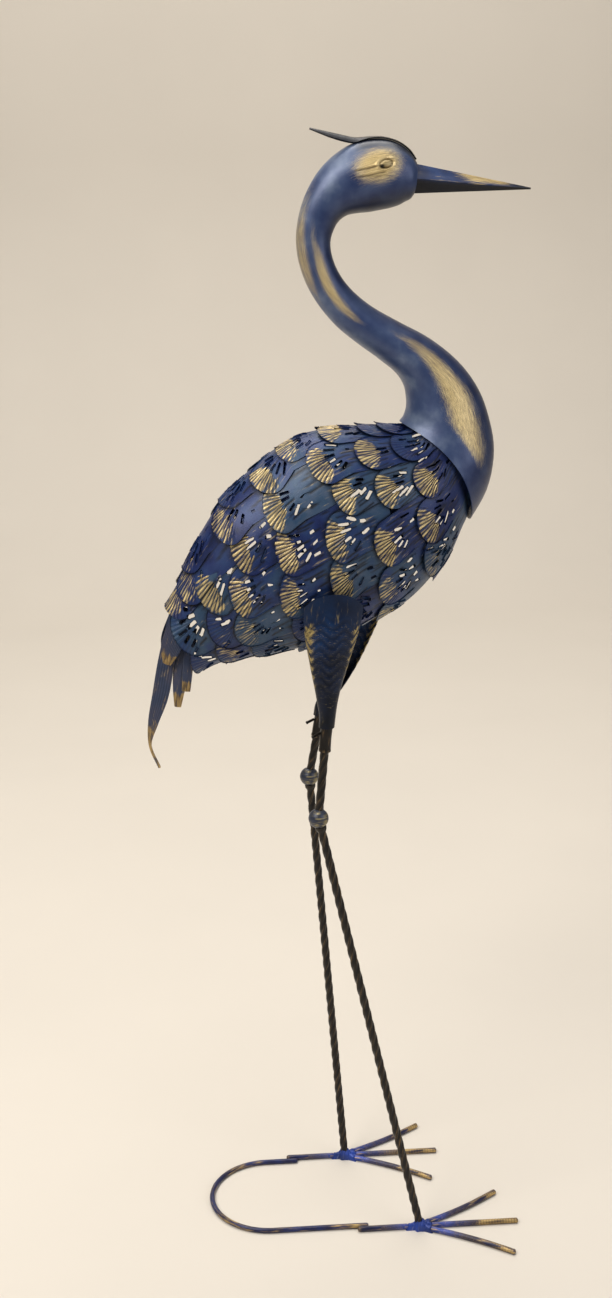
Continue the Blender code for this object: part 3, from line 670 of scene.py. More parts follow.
def leaf_rim(theta):
    """How far the rim of a leaf lies from the centre of its fan, at angles from the leaf's middle line."""
    half, straight = LEAF_WIDTH / 2, FAN_REACH - TIP_DEPTH
    s, c = np.sin(theta), np.cos(theta)
    a = (s / half) ** 2 + (c / TIP_DEPTH) ** 2
    b = c * straight / TIP_DEPTH**2
    k = (straight / TIP_DEPTH) ** 2 - 1
    tip = (b + np.sqrt(np.maximum(b * b - a * k, 0))) / a
    side = half / np.maximum(np.abs(s), 1e-9)
    return np.where(side * c < straight, side, tip)


def leaf_pattern():
    """One leaf laid flat, with the centre of its fan at zero: points, how near each lies to the rim, the number
    of its ridge, its share of the way to the root, and the cells."""
    fine = np.radians(np.linspace(-90, 90, 1801))
    rim = leaf_rim(fine)
    outline = np.stack([rim * np.sin(fine), rim * np.cos(fine)], -1)
    run = np.concatenate([[0], np.cumsum(np.linalg.norm(np.diff(outline, axis=0), axis=1))])
    columns = RIDGES * POINTS_A_RIDGE + 1
    theta = np.interp(np.linspace(0, run[-1], columns), run, fine)
    near = np.linspace(0, 1, FAN_STEPS + 1)[1:]
    reach = near[:, None] * leaf_rim(theta)
    fan = np.stack([reach * np.sin(theta), reach * np.cos(theta)], -1)
    across = np.concatenate([-near[::-1], [0], near]) * LEAF_WIDTH / 2
    depth = np.linspace(0, 1, ROOT_STEPS + 1)[1:]
    root = np.stack([np.broadcast_to(across, (ROOT_STEPS, len(across))), np.zeros((ROOT_STEPS, len(across)))], -1)
    points = np.concatenate([fan.reshape(-1, 2), [[0, 0]], root.reshape(-1, 2)])
    hub = FAN_STEPS * columns
    column = np.arange(columns - 1)
    spokes = np.stack([np.full(columns - 1, hub), column + 1, column, np.full(columns - 1, -1)], -1)
    edge = np.concatenate([np.arange(FAN_STEPS)[::-1] * columns, [hub], np.arange(FAN_STEPS) * columns + columns - 1])
    strips = np.concatenate([edge[None], hub + 1 + np.arange(ROOT_STEPS * len(across)).reshape(ROOT_STEPS, -1)])
    lower = np.stack([strips[1:, :-1], strips[1:, 1:], strips[:-1, 1:], strips[:-1, :-1]], -1).reshape(-1, 4)
    cells = np.concatenate([spokes, grid_cells(FAN_STEPS, columns)[:, ::-1], lower])
    plain = np.zeros(root[..., 0].size)
    nearness = np.concatenate([np.repeat(near, columns), [0], plain])
    ridge = np.concatenate([np.tile(np.arange(columns) / POINTS_A_RIDGE, FAN_STEPS), [0], plain])
    rootward = np.concatenate([np.zeros(hub + 1), np.repeat(depth, len(across))])
    return points, nearness, ridge, rootward, cells


class Leaf:
    """One leaf of a row: where it lies on the egg, and how its flat pattern is laid out over it."""

    def __init__(self, row, table, degrees, back, turn, gold, side):
        self.row, self.table, self.gold, self.side = row, table, gold, side
        self.angle = math.radians(degrees)
        self.middle = np.interp(self.angle, *table)
        self.tip = float(tip_line(row, self.angle)) + back * 0.001
        self.front = float(tip_line(row - 1, self.angle)) - (FIRST_ROW_TUCK if row == 0 else ROW_OVERLAP)
        self.root_length = max(LEAST_ROOT, self.tip - FAN_REACH - self.front)
        self.turn = math.radians(turn)

    def slant(self, angle):
        """How far the row's line has moved along the egg since the leaf's own middle."""
        return 0.6 * (tip_line(self.row, angle) - tip_line(self.row, self.angle))

    def spread(self, flat, rootward):
        """Flat places on the leaf as distances from the mouth and angles round the egg."""
        y = flat[:, 1] - GILT_MIDDLE
        c, s = math.cos(self.turn), math.sin(self.turn)
        ahead = GILT_MIDDLE + y * c + flat[:, 0] * s - rootward * self.root_length
        wide = flat[:, 0] * c * (1 + ROOT_SPREAD * np.minimum(2 * rootward, 1))
        angle = np.interp(self.middle + wide - y * s, self.table[1], self.table[0])
        return self.tip - FAN_REACH + ahead + self.slant(angle), angle

    def outside(self, t, angle):
        """How far places on the egg lie outside the leaf's outline; less than zero under it."""
        x = np.interp(angle, *self.table) - self.middle
        y = t - (self.tip - FAN_REACH) - self.slant(angle) - GILT_MIDDLE
        c, s = math.cos(self.turn), math.sin(self.turn)
        x, ahead = x * c + np.maximum(y, -GILT_MIDDLE) * s, GILT_MIDDLE + y * c - x * s
        fan = np.hypot(x, ahead) - leaf_rim(np.arctan2(x, np.maximum(ahead, 0)))
        sides = np.abs(x) - LEAF_WIDTH / 2
        return np.where(ahead > 0, fan, sides)


def punch(flat, cells, keep, slot):
    """Takes the cells inside a slot out of a sheet and draws the points round it up to the slot's edge."""
    middle, direction, half_length, half_width = slot
    ahead = np.array((math.sin(direction), math.cos(direction)))
    across = np.array((ahead[1], -ahead[0]))
    corner = np.where(cells >= 0, cells, cells[:, :1])
    offset = flat[corner].mean(1) - middle
    inside = keep & (np.abs(offset @ ahead) < half_length) & (np.abs(offset @ across) < half_width)
    keep &= ~inside
    edge = np.intersect1d(corner[inside], corner[keep])
    offset = flat[edge] - middle
    a, b = offset @ ahead, offset @ across
    to_side = np.abs(np.abs(b) - half_width) < np.abs(np.abs(a) - half_length)
    a = np.where(to_side, np.clip(a, -half_length, half_length), np.copysign(half_length, a))
    b = np.where(to_side, np.copysign(half_width, b), np.clip(b, -half_width * 0.4, half_width * 0.4))
    flat[edge] = middle + a[:, None] * ahead + b[:, None] * across


def choose_slots(leaf, above, dice):
    """Slots for one leaf, in a fan before and behind its centre, where no other leaf covers them."""
    slots = []
    for degrees in SLOT_ANGLES:
        begin, length = dice.uniform(*SLOT_START), dice.uniform(*SLOT_LENGTH)
        direction = math.radians(degrees + dice.uniform(-5, 5))
        far = begin + length / 2
        slots.append((np.array((far * math.sin(direction), far * math.cos(direction))), direction * SLOT_FAN, length))
    for place in ROOT_SLOTS:
        middle = np.array((place + dice.uniform(-0.001, 0.001), -dice.uniform(0.004, 0.010)))
        slots.append((middle, math.radians(dice.uniform(-25, 25)), dice.uniform(0.005, 0.009)))
    if leaf.gold < BARE_GOLD:
        for place in TIP_SLOTS:
            middle = np.array((place, dice.uniform(0.012, 0.024)))
            slots.append((middle, place * 30 + math.radians(dice.uniform(-15, 15)), dice.uniform(0.006, 0.010)))
    open_slots = []
    for middle, direction, length in slots:
        if dice.random() > SLOT_SHARE:
            continue
        ahead = np.array((math.sin(direction), math.cos(direction))) * length / 2
        places = np.array([middle - ahead, middle, middle + ahead])
        rootward = np.maximum(0, -places[:, 1]) / leaf.root_length
        places[:, 1] = np.maximum(places[:, 1], 0)
        t, angle = leaf.spread(places, rootward)
        apart = all(np.linalg.norm(middle - slot[0]) > SLOT_APART for slot in open_slots)
        if apart and all(other.outside(t, angle).min() > 0.0012 for other in above):
            open_slots.append((middle, direction, length / 2, dice.uniform(*SLOT_WIDTH) / 2))
    return open_slots


def leaf_creases(x, y, root_length, dice):
    """Thin lines scored along a leaf, spreading a little towards its tip: how deep they lie at places on it."""
    depth = np.zeros(len(x))
    for place in np.linspace(-0.019, 0.019, CREASES) + dice.uniform(-0.0012, 0.0012, CREASES):
        start, length = dice.uniform(-root_length, 0.010), dice.uniform(*CREASE_LENGTH)
        line = (place + dice.uniform(-0.06, 0.06) * (y - start)) * (1 + CREASE_FAN * y)
        window = ramp(y, start, start + 0.002) * ramp(y, start + length, start + length - 0.003)
        depth = np.maximum(depth, window * np.exp(-(((x - line) / LEAF_CREASE_WIDTH) ** 2)) * dice.uniform(0.6, 1.0))
    return depth


def make_leaf(leaf, above, pattern, dice):
    """One leaf bent over the egg: points, marks, cells, those that stay, and the slots punched in it."""
    flat, nearness, ridge, rootward, cells = pattern
    laid = flat - np.stack([0 * rootward, rootward * leaf.root_length], -1)
    keep = np.ones(len(cells), bool)
    slots = choose_slots(leaf, above, dice)
    for slot in slots:
        punch(laid, cells, keep, slot)
    rootward = np.maximum(0, -laid[:, 1]) / leaf.root_length
    t, angle = leaf.spread(np.stack([laid[:, 0], np.maximum(laid[:, 1], 0)], -1), rootward)
    x = laid[:, 0]
    start = tip_line(leaf.row - 1, angle) - (FIRST_ROW_TUCK if leaf.row == 0 else ROW_OVERLAP)
    s = np.clip((t - start) / (tip_line(leaf.row, angle) - start), 0, 1.6)
    press = max(leaf.gold, dice.uniform(0.15, 0.6))
    jitter = dice.uniform(-0.0022, 0.0022, RIDGES + 2)[np.round(ridge).astype(int)]
    crest = 0.5 + 0.5 * np.cos(2 * np.pi * ridge)
    oval = np.hypot(laid[:, 0] / GILT_HALF[0], (laid[:, 1] - GILT_MIDDLE + jitter) / GILT_HALF[1])
    zone = (1 - ramp(oval, 0.80, 1.05)) * ramp(rootward, 0.01, 0.0)
    lift = FEATHER_LIFT * s + FEATHER_CROWN * (1 - (x / LEAF_WIDTH * 2) ** 2) * s**2
    lift += dice.uniform(-0.0002, 0.0009) * ramp(s, 0.6, 1) - SHINGLE_SLOPE * x * (0.3 + 0.7 * s)
    lift += RIDGE_HEIGHT * (crest - 0.5) * zone * (0.35 + 0.65 * press)
    creased = leaf_creases(x, laid[:, 1], leaf.root_length, dice) * (1 - zone)
    lift -= CREASE_DEPTH * creased
    points = body_points(t, angle, lift)
    points[:, 1] *= leaf.side
    # painted shadow along the edges of the leaves lying over this one, and along the neck's mouth over the first row
    lap = np.min([other.outside(t, angle) for other in above], axis=0) if above else np.full(len(t), 1.0)
    if leaf.row == 0:
        lap = np.minimum(lap, (t - tip_line(-1, angle)) * 0.6)
    under = 0.92 * np.exp(-((np.abs(lap) / LAP_SHADE) ** 1.5))
    # painted shade along the rim of the tip, fading on gilded leaves
    edge = leaf_rim(np.arctan2(x, np.maximum(laid[:, 1], 1e-4))) - np.hypot(x, np.maximum(laid[:, 1], 0))
    rim_shade = 0.5 * np.exp(-np.maximum(edge, 0) / TIP_RIM_SHADE) * ramp(nearness, 0.8, 0.95)
    marks = {
        "along": laid[:, 1],
        "around": x + 0.07 * len(slots) + leaf.middle,
        "gold": np.clip(leaf.gold * zone * (0.30 + 0.80 * crest) + 0.10 * leaf.gold, 0, 1),
        # painted shade: in the laps, in the creases, in the ridge valleys, and along the rim of a bare tip
        "shade": np.clip(
            np.maximum(np.maximum(under, 1.1 * creased), rim_shade * (1 - leaf.gold)) + 0.80 * (1 - crest) ** 2 * zone * press, 0, 0.95
        ),
        "tone": np.full(len(t), dice.uniform(0.0, 1.0)),
    }
    windows = []
    for middle, direction, half_length, half_width in slots:
        ahead = np.array((math.sin(direction), math.cos(direction))) * half_length
        across = np.array((math.cos(direction), -math.sin(direction))) * half_width
        places = np.array([middle, middle + ahead, middle + across])
        rootward = np.maximum(0, -places[:, 1]) / leaf.root_length
        places[:, 1] = np.maximum(places[:, 1], 0)
        t_slot, angle_slot = leaf.spread(places, rootward)
        windows.append(body_points(t_slot, angle_slot, np.full(3, FEATHER_LIFT * 0.8)) * (1, leaf.side, 1))
    return points, angle, marks, cells, keep, windows


def clear_sight(rows, window):
    """Opens every sheet behind a slot of the near wall, as seen from the camera, so that the day shows through."""
    eye = np.array(CAMERA_PLACE)
    depth = np.linalg.norm(window[0] - eye)
    sight = (window[0] - eye) / depth
    ahead, across = window[1] - window[0], window[2] - window[0]
    ahead, across = ahead - sight * (ahead @ sight), across - sight * (across @ sight)
    length, width = np.linalg.norm(ahead) + 0.0005, np.linalg.norm(across) + 0.0004
    ahead /= np.linalg.norm(ahead)
    across -= ahead * (across @ ahead)
    across /= np.linalg.norm(across)
    for parts in rows:
        points, normals, _, keep, corner = parts
        ray = points - eye
        distance = ray @ sight
        scale = distance / depth
        seen = eye + ray / scale[:, None] - window[0]
        a, b = seen @ ahead, seen @ across
        middle_a, middle_b, behind = a[corner].mean(1), b[corner].mean(1), distance[corner].min(1) > depth + 0.0006
        square_on = np.abs((normals[corner] @ sight).mean(1)) > SLANTED_SIGHT
        inside = keep & behind & square_on & (np.abs(middle_a) < length) & (np.abs(middle_b) < width)
        keep &= ~inside
        edge = np.intersect1d(corner[inside], corner[keep])
        if not len(edge):
            continue
        a, b = a[edge], b[edge]
        to_side = np.abs(np.abs(b) - width) < np.abs(np.abs(a) - length)
        move_a = np.where(to_side, np.clip(a, -length, length), np.copysign(length, a)) - a
        move_b = np.where(to_side, np.copysign(width, b), np.clip(b, -width * 0.4, width * 0.4)) - b
        move = (move_a[:, None] * ahead + move_b[:, None] * across) * scale[edge, None]
        facing = normals[edge] @ sight
        facing = np.where(np.abs(facing) < 0.35, np.copysign(0.35, facing), facing)
        points[edge] += move - sight * (np.sum(move * normals[edge], axis=1) / facing)[:, None]


def make_feathers(finish):
    """All seven rows. Where the day shows through a slot of the near wall, the far wall is open behind it."""
    pattern = leaf_pattern()
    dice = np.random.default_rng(LEAF_SEED)
    rows = []
    leaves = []
    for row, entries in enumerate(LEAVES):
        table = girth_table(row)
        leaves.append([Leaf(row, table, *entry, side) for side in (1, -1) for entry in entries])
    windows = []
    parts = []
    for row, members in enumerate(leaves):
        made = []
        for leaf in members:
            neighbours = leaves[row - 1] if row else []
            above = [other for other in neighbours if other.side == leaf.side]
            above += [o for o in members if o.side == leaf.side and 0 < o.angle - leaf.angle < 0.9]
            made.append(make_leaf(leaf, above, pattern, dice))
        size = len(pattern[0])
        points = np.concatenate([leaf[0] for leaf in made])
        angle = np.concatenate([leaf[1] for leaf in made])
        side = np.repeat([leaf.side for leaf in members], size)
        marks = {mark: np.concatenate([leaf[2][mark] for leaf in made]) for mark in made[0][2]}
        cells = np.concatenate([np.where(leaf[3] >= 0, leaf[3] + size * k, -1) for k, leaf in enumerate(made)])
        keep = np.concatenate([leaf[4] for leaf in made])
        normals = np.array(BODY_UP) * np.cos(angle)[:, None] + np.array(SIDE) * (side * np.sin(angle) * 1.4)[:, None]
        normals /= np.linalg.norm(normals, axis=1)[:, None]
        parts.append((points, normals, cells, keep, np.where(cells >= 0, cells, cells[:, :1])))
        rows.append((f"feather_row_{row + 1}", marks, side))
        for leaf, result in zip(members, made):
            if leaf.side == 1:
                windows += result[5]
    for window in windows:
        share = (window[0] - np.array(MOUTH)) @ np.array(BODY_AXIS) / BODY_LENGTH
        low = (MOUTH_HEIGHT - window[0][2]) / 0.10
        if dice.random() < 0.26 + 0.60 * share + 0.40 * low:
            clear_sight(parts, window)
    for (name, marks, side), (points, _, cells, keep, _) in zip(rows, parts):
        flip = side[cells[:, 0]] < 0
        turned_over = np.where(cells[:, 3:] >= 0, cells[:, ::-1], cells[:, (2, 1, 0, 3)])
        sheet = np.where(flip[:, None], turned_over, cells)[keep]
        make_piece(f"{name}_leaves", points, sheet, finish, [name], marks, SHEET * 0.8, -1.0, crease=50.0, rim_only=True)


# Tail: spine points from the end of the egg, half widths, fold, and turn of the face from the rear
CURL_HALF_WIDTH = 0.0011
TAIL_PLUMES = {
    "tail_plume_centre": (
        (
            (-0.0074, 0.0000, 0.0305),
            (-0.0186, 0.0000, -0.0135),
            (-0.0254, 0.0000, -0.0495),
            (-0.0306, 0.0000, -0.0795),
            (-0.0306, 0.0000, -0.1055),
            (-0.0219, 0.0000, -0.1285),
        ),
        (0.0080, 0.0090, 0.0088, 0.0055, CURL_HALF_WIDTH, CURL_HALF_WIDTH),
        1.9,
        0.0,
    ),
    "tail_plume_right_cover": (
        (
            (0.0046, -0.0185, 0.0325),
            (-0.0019, -0.0185, 0.0175),
            (-0.0084, -0.0175, -0.0005),
            (-0.0119, -0.0160, -0.0165),
        ),
        (0.0095, 0.0110, 0.0105, 0.0040),
        0.2,
        -62.0,
    ),
    "tail_plume_right_inner": (
        (
            (0.0126, -0.0135, 0.0125),
            (0.0046, -0.0135, -0.0155),
            (0.0001, -0.0130, -0.0395),
            (-0.0019, -0.0120, -0.0615),
        ),
        (0.0065, 0.0070, 0.0062, 0.0030),
        0.2,
        -80.0,
    ),
    "tail_plume_right_lower": (
        (
            (0.0111, -0.0165, 0.0045),
            (0.0096, -0.0165, -0.0125),
            (0.0081, -0.0165, -0.0285),
            (0.0066, -0.0165, -0.0445),
        ),
        (0.0042, 0.0046, 0.0045, 0.0038),
        0.2,
        -88.0,
    ),
}
PLUME_VEINS = 7


def make_plume(name, spine, half_widths, fold, turn, finish):
    """A tail feather: a leaf creased along its spine, with pressed veins lengthwise and a gilded end."""
    outward = np.array((-math.cos(math.radians(turn)), math.sin(math.radians(turn)), 0))
    steps = 14 * (len(spine) - 1)
    u = np.linspace(0, len(spine) - 1, steps + 1)
    table = [(k, *point, half) for k, (point, half) in enumerate(zip(spine, half_widths))]
    values = smooth(table, u)
    middle, half = values[:, :3] + np.array(TAIL_ROOT), np.maximum(values[:, 3], CURL_HALF_WIDTH)
    ahead = np.gradient(middle, axis=0)
    across = np.cross(ahead, outward)
    across /= np.linalg.norm(across, axis=1)[:, None]
    out = np.cross(across, ahead)
    out /= np.linalg.norm(out, axis=1)[:, None]
    out *= np.sign(out @ outward)[:, None]
    columns = 8 * PLUME_VEINS + 1
    c = np.linspace(-1, 1, columns)
    folded = np.sqrt(c**2 + 0.012) - math.sqrt(0.012)
    vein = 0.5 + 0.5 * np.cos(2 * np.pi * PLUME_VEINS * c)
    pressed = 0.00035 * (vein - 0.5) * np.minimum(1, half / 0.004)[:, None]
    points = (
        middle[:, None]
        + across[:, None] * half[:, None, None] * c[None, :, None]
        - out[:, None] * (half[:, None] * fold * folded - pressed)[..., None]
    )
    shape = points.shape[:2]
    tip = u / (len(spine) - 1)
    is_long = name == "tail_plume_centre"
    gold = 0.75 * ramp(tip, 0.52, 0.72) if is_long else 0.9 * ramp(tip, 0.74, 0.84)
    length = np.concatenate([[0], np.cumsum(np.linalg.norm(np.diff(middle, axis=0), axis=1))])
    marks = {
        "along": np.broadcast_to(length[:, None], shape),
        "around": half[:, None] * c,
        "gold": gold[:, None] * (0.7 + 0.3 * vein) + 0.12 * vein,
        # painted shade in the valleys between the veins
        "shade": 0.45 * (1 - vein) * np.ones(shape),
        "tone": np.full(shape, 0.85),
    }
    marks = {mark: np.ravel(values) for mark, values in marks.items()}
    make_piece(f"{name}_blade", points, grid_cells(*shape), finish, [name], marks, SHEET * 0.9, 0.0)


# Thighs
LEG_SPREAD = 0.136
HIP_SPREAD = LEG_SPREAD - 0.004
SLEEVE_RADIUS = LEG_ROD / 2 + SOCKET_CLEARANCE + SHEET + SLEEVE_CLEARANCE + SHEET / 2
LEGS = {
    "right": {"side": -1, "hip": (-0.0172, 0.235), "lean": -0.0035},
    "left": {"side": 1, "hip": (-0.0100, 0.265), "lean": 0.0220},
}
THIGH_TOP_DROP = 0.104
THIGH_TOP_ARCH = 0.014
THIGH_TOP_DEPTH = 0.0120
THIGH_WRAP = (150.0, 62.0)
THIGH_LEAN_SHAPE = ((0.0, 0.0), (0.08, 0.03), (0.21, 0.40), (0.35, 0.64), (0.6, 0.80), (1.0, 1.0))
THIGH_SPREAD_SHAPE = (
    (0.0, 0.0),
    (0.08, 0.0004),
    (0.16, 0.0017),
    (0.30, 0.0049),
    (0.45, 0.0093),
    (0.60, 0.0133),
    (0.75, 0.0173),
    (0.88, 0.0200),
    (1.0, 0.0208),
)
SCALE_PITCH = 0.0088


def body_side_at(x, z, lift):
    """How far the egg reaches sideways at places in the side view, or zero outside its outline."""
    dx, dz = x - MOUTH.x, z - MOUTH.z
    t = dx * BODY_AXIS.x + dz * BODY_AXIS.z
    bow = smooth(BODY_BOW, t / BODY_LENGTH) + NECK_RISE * np.maximum(0, -t)
    across = (dx * BODY_UP.x + dz * BODY_UP.z - bow) / (body_half_height(t) + lift)
    return (body_half_width(t) + lift) * np.sqrt(np.maximum(0, 1 - across * across))


def make_thigh(side_name, leg, finish):
    """The sheet round the leg that spreads over the body, pressed with rows of scales and gilded along its edges."""
    knee = middle_of(f"{side_name}_knee_ball")
    hip = Vector((leg["hip"][0], leg["side"] * HIP_SPREAD / 2, MOUTH_HEIGHT - leg["hip"][1]))
    slope = (hip - knee) / (hip.z - knee.z)
    v = np.linspace(0, 1, 151)[:, None]
    c = np.linspace(-1, 1, 61)[None]
    half = SLEEVE_RADIUS + smooth(THIGH_SPREAD_SHAPE, v)
    wrap = np.radians(THIGH_WRAP[0] + (THIGH_WRAP[1] - THIGH_WRAP[0]) * v)
    widest = np.where(wrap > math.pi / 2, 1.0, np.sin(np.minimum(wrap, math.pi / 2)))
    depth = SLEEVE_RADIUS + (THIGH_TOP_DEPTH - SLEEVE_RADIUS) * v
    top = MOUTH_HEIGHT - THIGH_TOP_DROP - THIGH_TOP_ARCH * c * c
    z = hip.z + (top - hip.z) * v
    x = hip.x + slope.x * (z - hip.z) + leg["lean"] * smooth(THIGH_LEAN_SHAPE, v) + half * np.sin(c * wrap) / widest
    y = np.abs(hip.y + slope.y * (z - hip.z)) + SLEEVE_RADIUS - depth + depth * np.cos(c * wrap)
    # scales: waves round the sheet whose phase dips at the middle and the edges
    zone = ramp(v, 0.22, 0.34) * (1 - ramp(v, 0.74, 0.90))
    wave = (z - hip.z) / SCALE_PITCH + 0.42 * np.cos(3 * np.pi * c)
    scale = 0.5 + 0.5 * np.cos(2 * np.pi * wave)
    edge = ramp(np.abs(c), 0.52, 0.86)
    pressed = 0.0008 * scale * zone * (0.45 + 0.55 * edge)
    clear = FEATHER_LIFT + FEATHER_CROWN + SHEET + GAP
    y = np.maximum(y, body_side_at(x, z, clear)) + pressed
    points = np.stack([x, leg["side"] * y, z], -1)
    shape = points.shape[:2]
    front_edge = ramp(c, 0.50, 0.80) * ramp(v, 0.30, 0.42)
    rear_edge = ramp(-c, 0.45, 0.78) * ramp(v, 0.16, 0.36)
    corner = np.exp(-(((c + 0.75) / 0.22) ** 2) - ((v - 0.76) / 0.05) ** 2)
    marks = {
        "along": z - hip.z + 0 * x,
        "around": half * c,
        "gold": np.clip((1.25 * (front_edge + rear_edge) * (0.10 + 0.90 * scale) + 0.10 * scale) * zone + corner, 0, 1),
        # painted shade in the hollows between the scales and over the top under the body; darker towards the lower end
        "shade": np.clip(0.45 * (1 - scale) * zone + 0.15 * (1 - ramp(v, 0.2, 0.5)) + 0.50 * ramp(v, 0.72, 0.95), 0, 1) + 0 * x,
        "tone": 0.8 * ramp(v, 0.15, 0.80) + 0 * x,
    }
    marks = {mark: np.ravel(values) for mark, values in marks.items()}
    make_piece(f"{side_name}_thigh_sheet", points, grid_cells(*shape), finish, [f"{side_name}_thigh"], marks, SHEET, 0.0)


# Bars, balls, sockets and feet


def make_bar(name, path, radii, upright, finish, node, gold, shade, turn=None, tone=0.8, crease=60.0):
    """A bar along a path: a ring of points at each place, as wide as radii says there, with closed ends."""
    path = np.array(path, float)
    ahead = np.gradient(path, axis=0)
    ahead /= np.linalg.norm(ahead, axis=1)[:, None]
    first = np.array(upright) - ahead * (ahead @ np.array(upright))[:, None]
    first /= np.linalg.norm(first, axis=1)[:, None]
    second = np.cross(ahead, first)
    sides = radii.shape[1]
    a = 2 * np.pi * np.arange(sides) / sides + (np.zeros(len(path)) if turn is None else turn)[:, None]
    points = path[:, None] + radii[..., None] * (first[:, None] * np.cos(a)[..., None] + second[:, None] * np.sin(a)[..., None])
    length = np.concatenate([[0], np.cumsum(np.linalg.norm(np.diff(path, axis=0), axis=1))])
    shape = radii.shape
    marks = {
        "along": np.broadcast_to(length[:, None], shape),
        "around": radii.max() * (a - a[:, :1]),
        "gold": np.broadcast_to(gold, shape),
        "shade": np.broadcast_to(shade, shape),
        "tone": np.broadcast_to(tone, shape),
    }
    marks = {mark: np.ravel(values) for mark, values in marks.items()}
    last = (len(path) - 1) * sides
    caps = [range(sides - 1, -1, -1), range(last, last + sides)]
    make_piece(name, points, grid_cells(*shape, ring=True), finish, [node], marks, crease=crease, caps=caps)


def make_twisted_bar(name, start, end, finish, node, corner_height, weld_at_start):
    """A square bar twisted about its length, its corners worn and painted shade in its hollows, with a weld where it
    starts.
    """
    start, end = np.array(start), np.array(end)
    length = np.linalg.norm(end - start)
    steps = max(8, round(length / 0.0016))
    s = np.linspace(0, 1, steps + 1)[:, None]
    sides = 24
    phase = 4 * 2 * np.pi * np.arange(sides) / sides
    corner = (0.5 + 0.5 * np.cos(phase)) ** 0.7
    radii = LEG_ROD / 2 * (1 - corner_height + corner_height * corner)[None] * np.ones((steps + 1, 1))
    weld = np.exp(-((s * length / 0.0050) ** 4)) * weld_at_start
    radii = radii * (1 - weld) + weld * LEG_ROD / 2 * (1.32 + 0.06 * np.sin(2 * phase + 40 * s))
    make_bar(
        name,
        start + (end - start) * s,
        radii,
        (1, 0, 0),
        finish,
        node,
        gold=0.42 * corner[None] ** 2 * (1 - weld),
        # painted shade in the hollows of the twist
        shade=0.60 * (1 - corner)[None] * (1 - weld),
        turn=2 * np.pi * length / TWIST_PITCH * s[:, 0],
    )


def make_ball(name, centre, radius, finish, node):
    """A ball of two pressed halves, with a faint seam round it and small dents."""
    latitude = np.radians(np.linspace(-89, 89, 33))[:, None]
    longitude = 2 * np.pi * np.arange(40)[None] / 40
    dents = np.sin(5 * longitude + 3 * latitude) * np.sin(4 * latitude - 2 * longitude) * np.cos(latitude)
    seam = np.exp(-((latitude / 0.06) ** 2))
    r = radius * (0.982 + 0.008 * dents + 0.008 * seam)
    points = np.stack([r * np.cos(latitude) * np.cos(longitude), r * np.cos(latitude) * np.sin(longitude), r * np.sin(latitude)], -1)
    shape = points.shape[:2]
    count = shape[1]
    last = (shape[0] - 1) * count
    marks = {
        "along": np.broadcast_to(radius * longitude, shape),
        "around": np.broadcast_to(radius * latitude, shape),
        "gold": np.clip(0.36 + 0.30 * dents + 0.30 * np.cos(longitude - 5.2) * np.cos(latitude), 0, 1),
        # painted shade on the underside of the ball
        "shade": 0.8 * ramp(latitude, -0.5, -1.1) * np.ones(shape),
        "tone": np.full(shape, 0.9),
    }
    marks = {mark: np.ravel(values) for mark, values in marks.items()}
    caps = [range(count - 1, -1, -1), range(last, last + count)]
    make_piece(name, points + np.array(centre), grid_cells(*shape, ring=True), finish, [node], marks, caps=caps)


SCREW_TILT = 36.0


def make_socket(side_name, finish):
    """The tube in the end of the thigh, with a rolled lower rim, and the thumb screw through it."""
    knee, middle = middle_of(f"{side_name}_knee_ball"), middle_of(f"{side_name}_leg_socket")
    up = (middle - knee).normalized()
    inner, length = LEG_ROD / 2 + 0.0004, 0.034
    s = np.linspace(-0.5, 0.5, 25)[:, None]
    angles = 2 * np.pi * np.arange(28) / 28
    radius = inner + 0.0004 * np.exp(-(((s + 0.47) / 0.03) ** 2)) + 0.00012 * np.sin(3 * angles + 9 * s)
    first = (Vector((1, 0, 0)) - up * up.x).normalized()
    second = up.cross(first)
    ring = np.cos(angles)[:, None] * np.array(first) + np.sin(angles)[:, None] * np.array(second)
    points = np.array(middle) + (s * length)[..., None] * np.array(up) + radius[..., None] * ring[None]
    shape = points.shape[:2]
    marks = {
        "along": np.broadcast_to(s * length, shape),
        "around": np.broadcast_to(inner * angles, shape),
        "gold": np.broadcast_to(0.25 + 0.4 * np.exp(-(((s + 0.47) / 0.04) ** 2)), shape),
        "shade": np.full(shape, 0.25),
        "tone": np.full(shape, 0.7),
    }
    marks = {mark: np.ravel(values) for mark, values in marks.items()}
    node = f"{side_name}_leg_socket"
    make_piece(f"{node}_tube", points, grid_cells(*shape, ring=True), finish, [node], marks, SHEET, 1.0)
    node = f"{side_name}_leg_screw"
    low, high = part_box(node)
    backward = (Vector((-1, 0, 0)) + up * up.x).normalized()
    tilt = math.radians(SCREW_TILT)
    backward = backward * math.cos(tilt) - up * math.sin(tilt)
    reach = 0.0040
    centre = (low + high) / 2
    # the shaft starts in the wall of the tube
    steps = np.linspace(-1.45, 1, 59)
    thread = 0.0014 + 0.00018 * np.cos(2 * np.pi * steps * 7)
    head = np.where(steps > 0.35, 0.0017 * np.sqrt(np.clip(1 - ((steps - 0.68) / 0.34) ** 4, 0.05, 1)), thread)
    radii = np.repeat(head[:, None], 16, 1)
    path = [centre + backward * (reach * 0.97 * k) for k in steps]
    make_bar(f"{node}_thumb", path, radii, (0, 1, 0), finish, node, gold=0.10, shade=0.2)


def rod_radii(count, radius, sides=16, start_round=True):
    """Radii along a plain rod of count rings whose ends are rounded off."""
    radii = np.full((count, sides), radius)
    radii[-1] *= 0.45
    radii[-2] *= 0.85
    if start_round:
        radii[0] *= 0.55
        radii[1] *= 0.9
    return radii


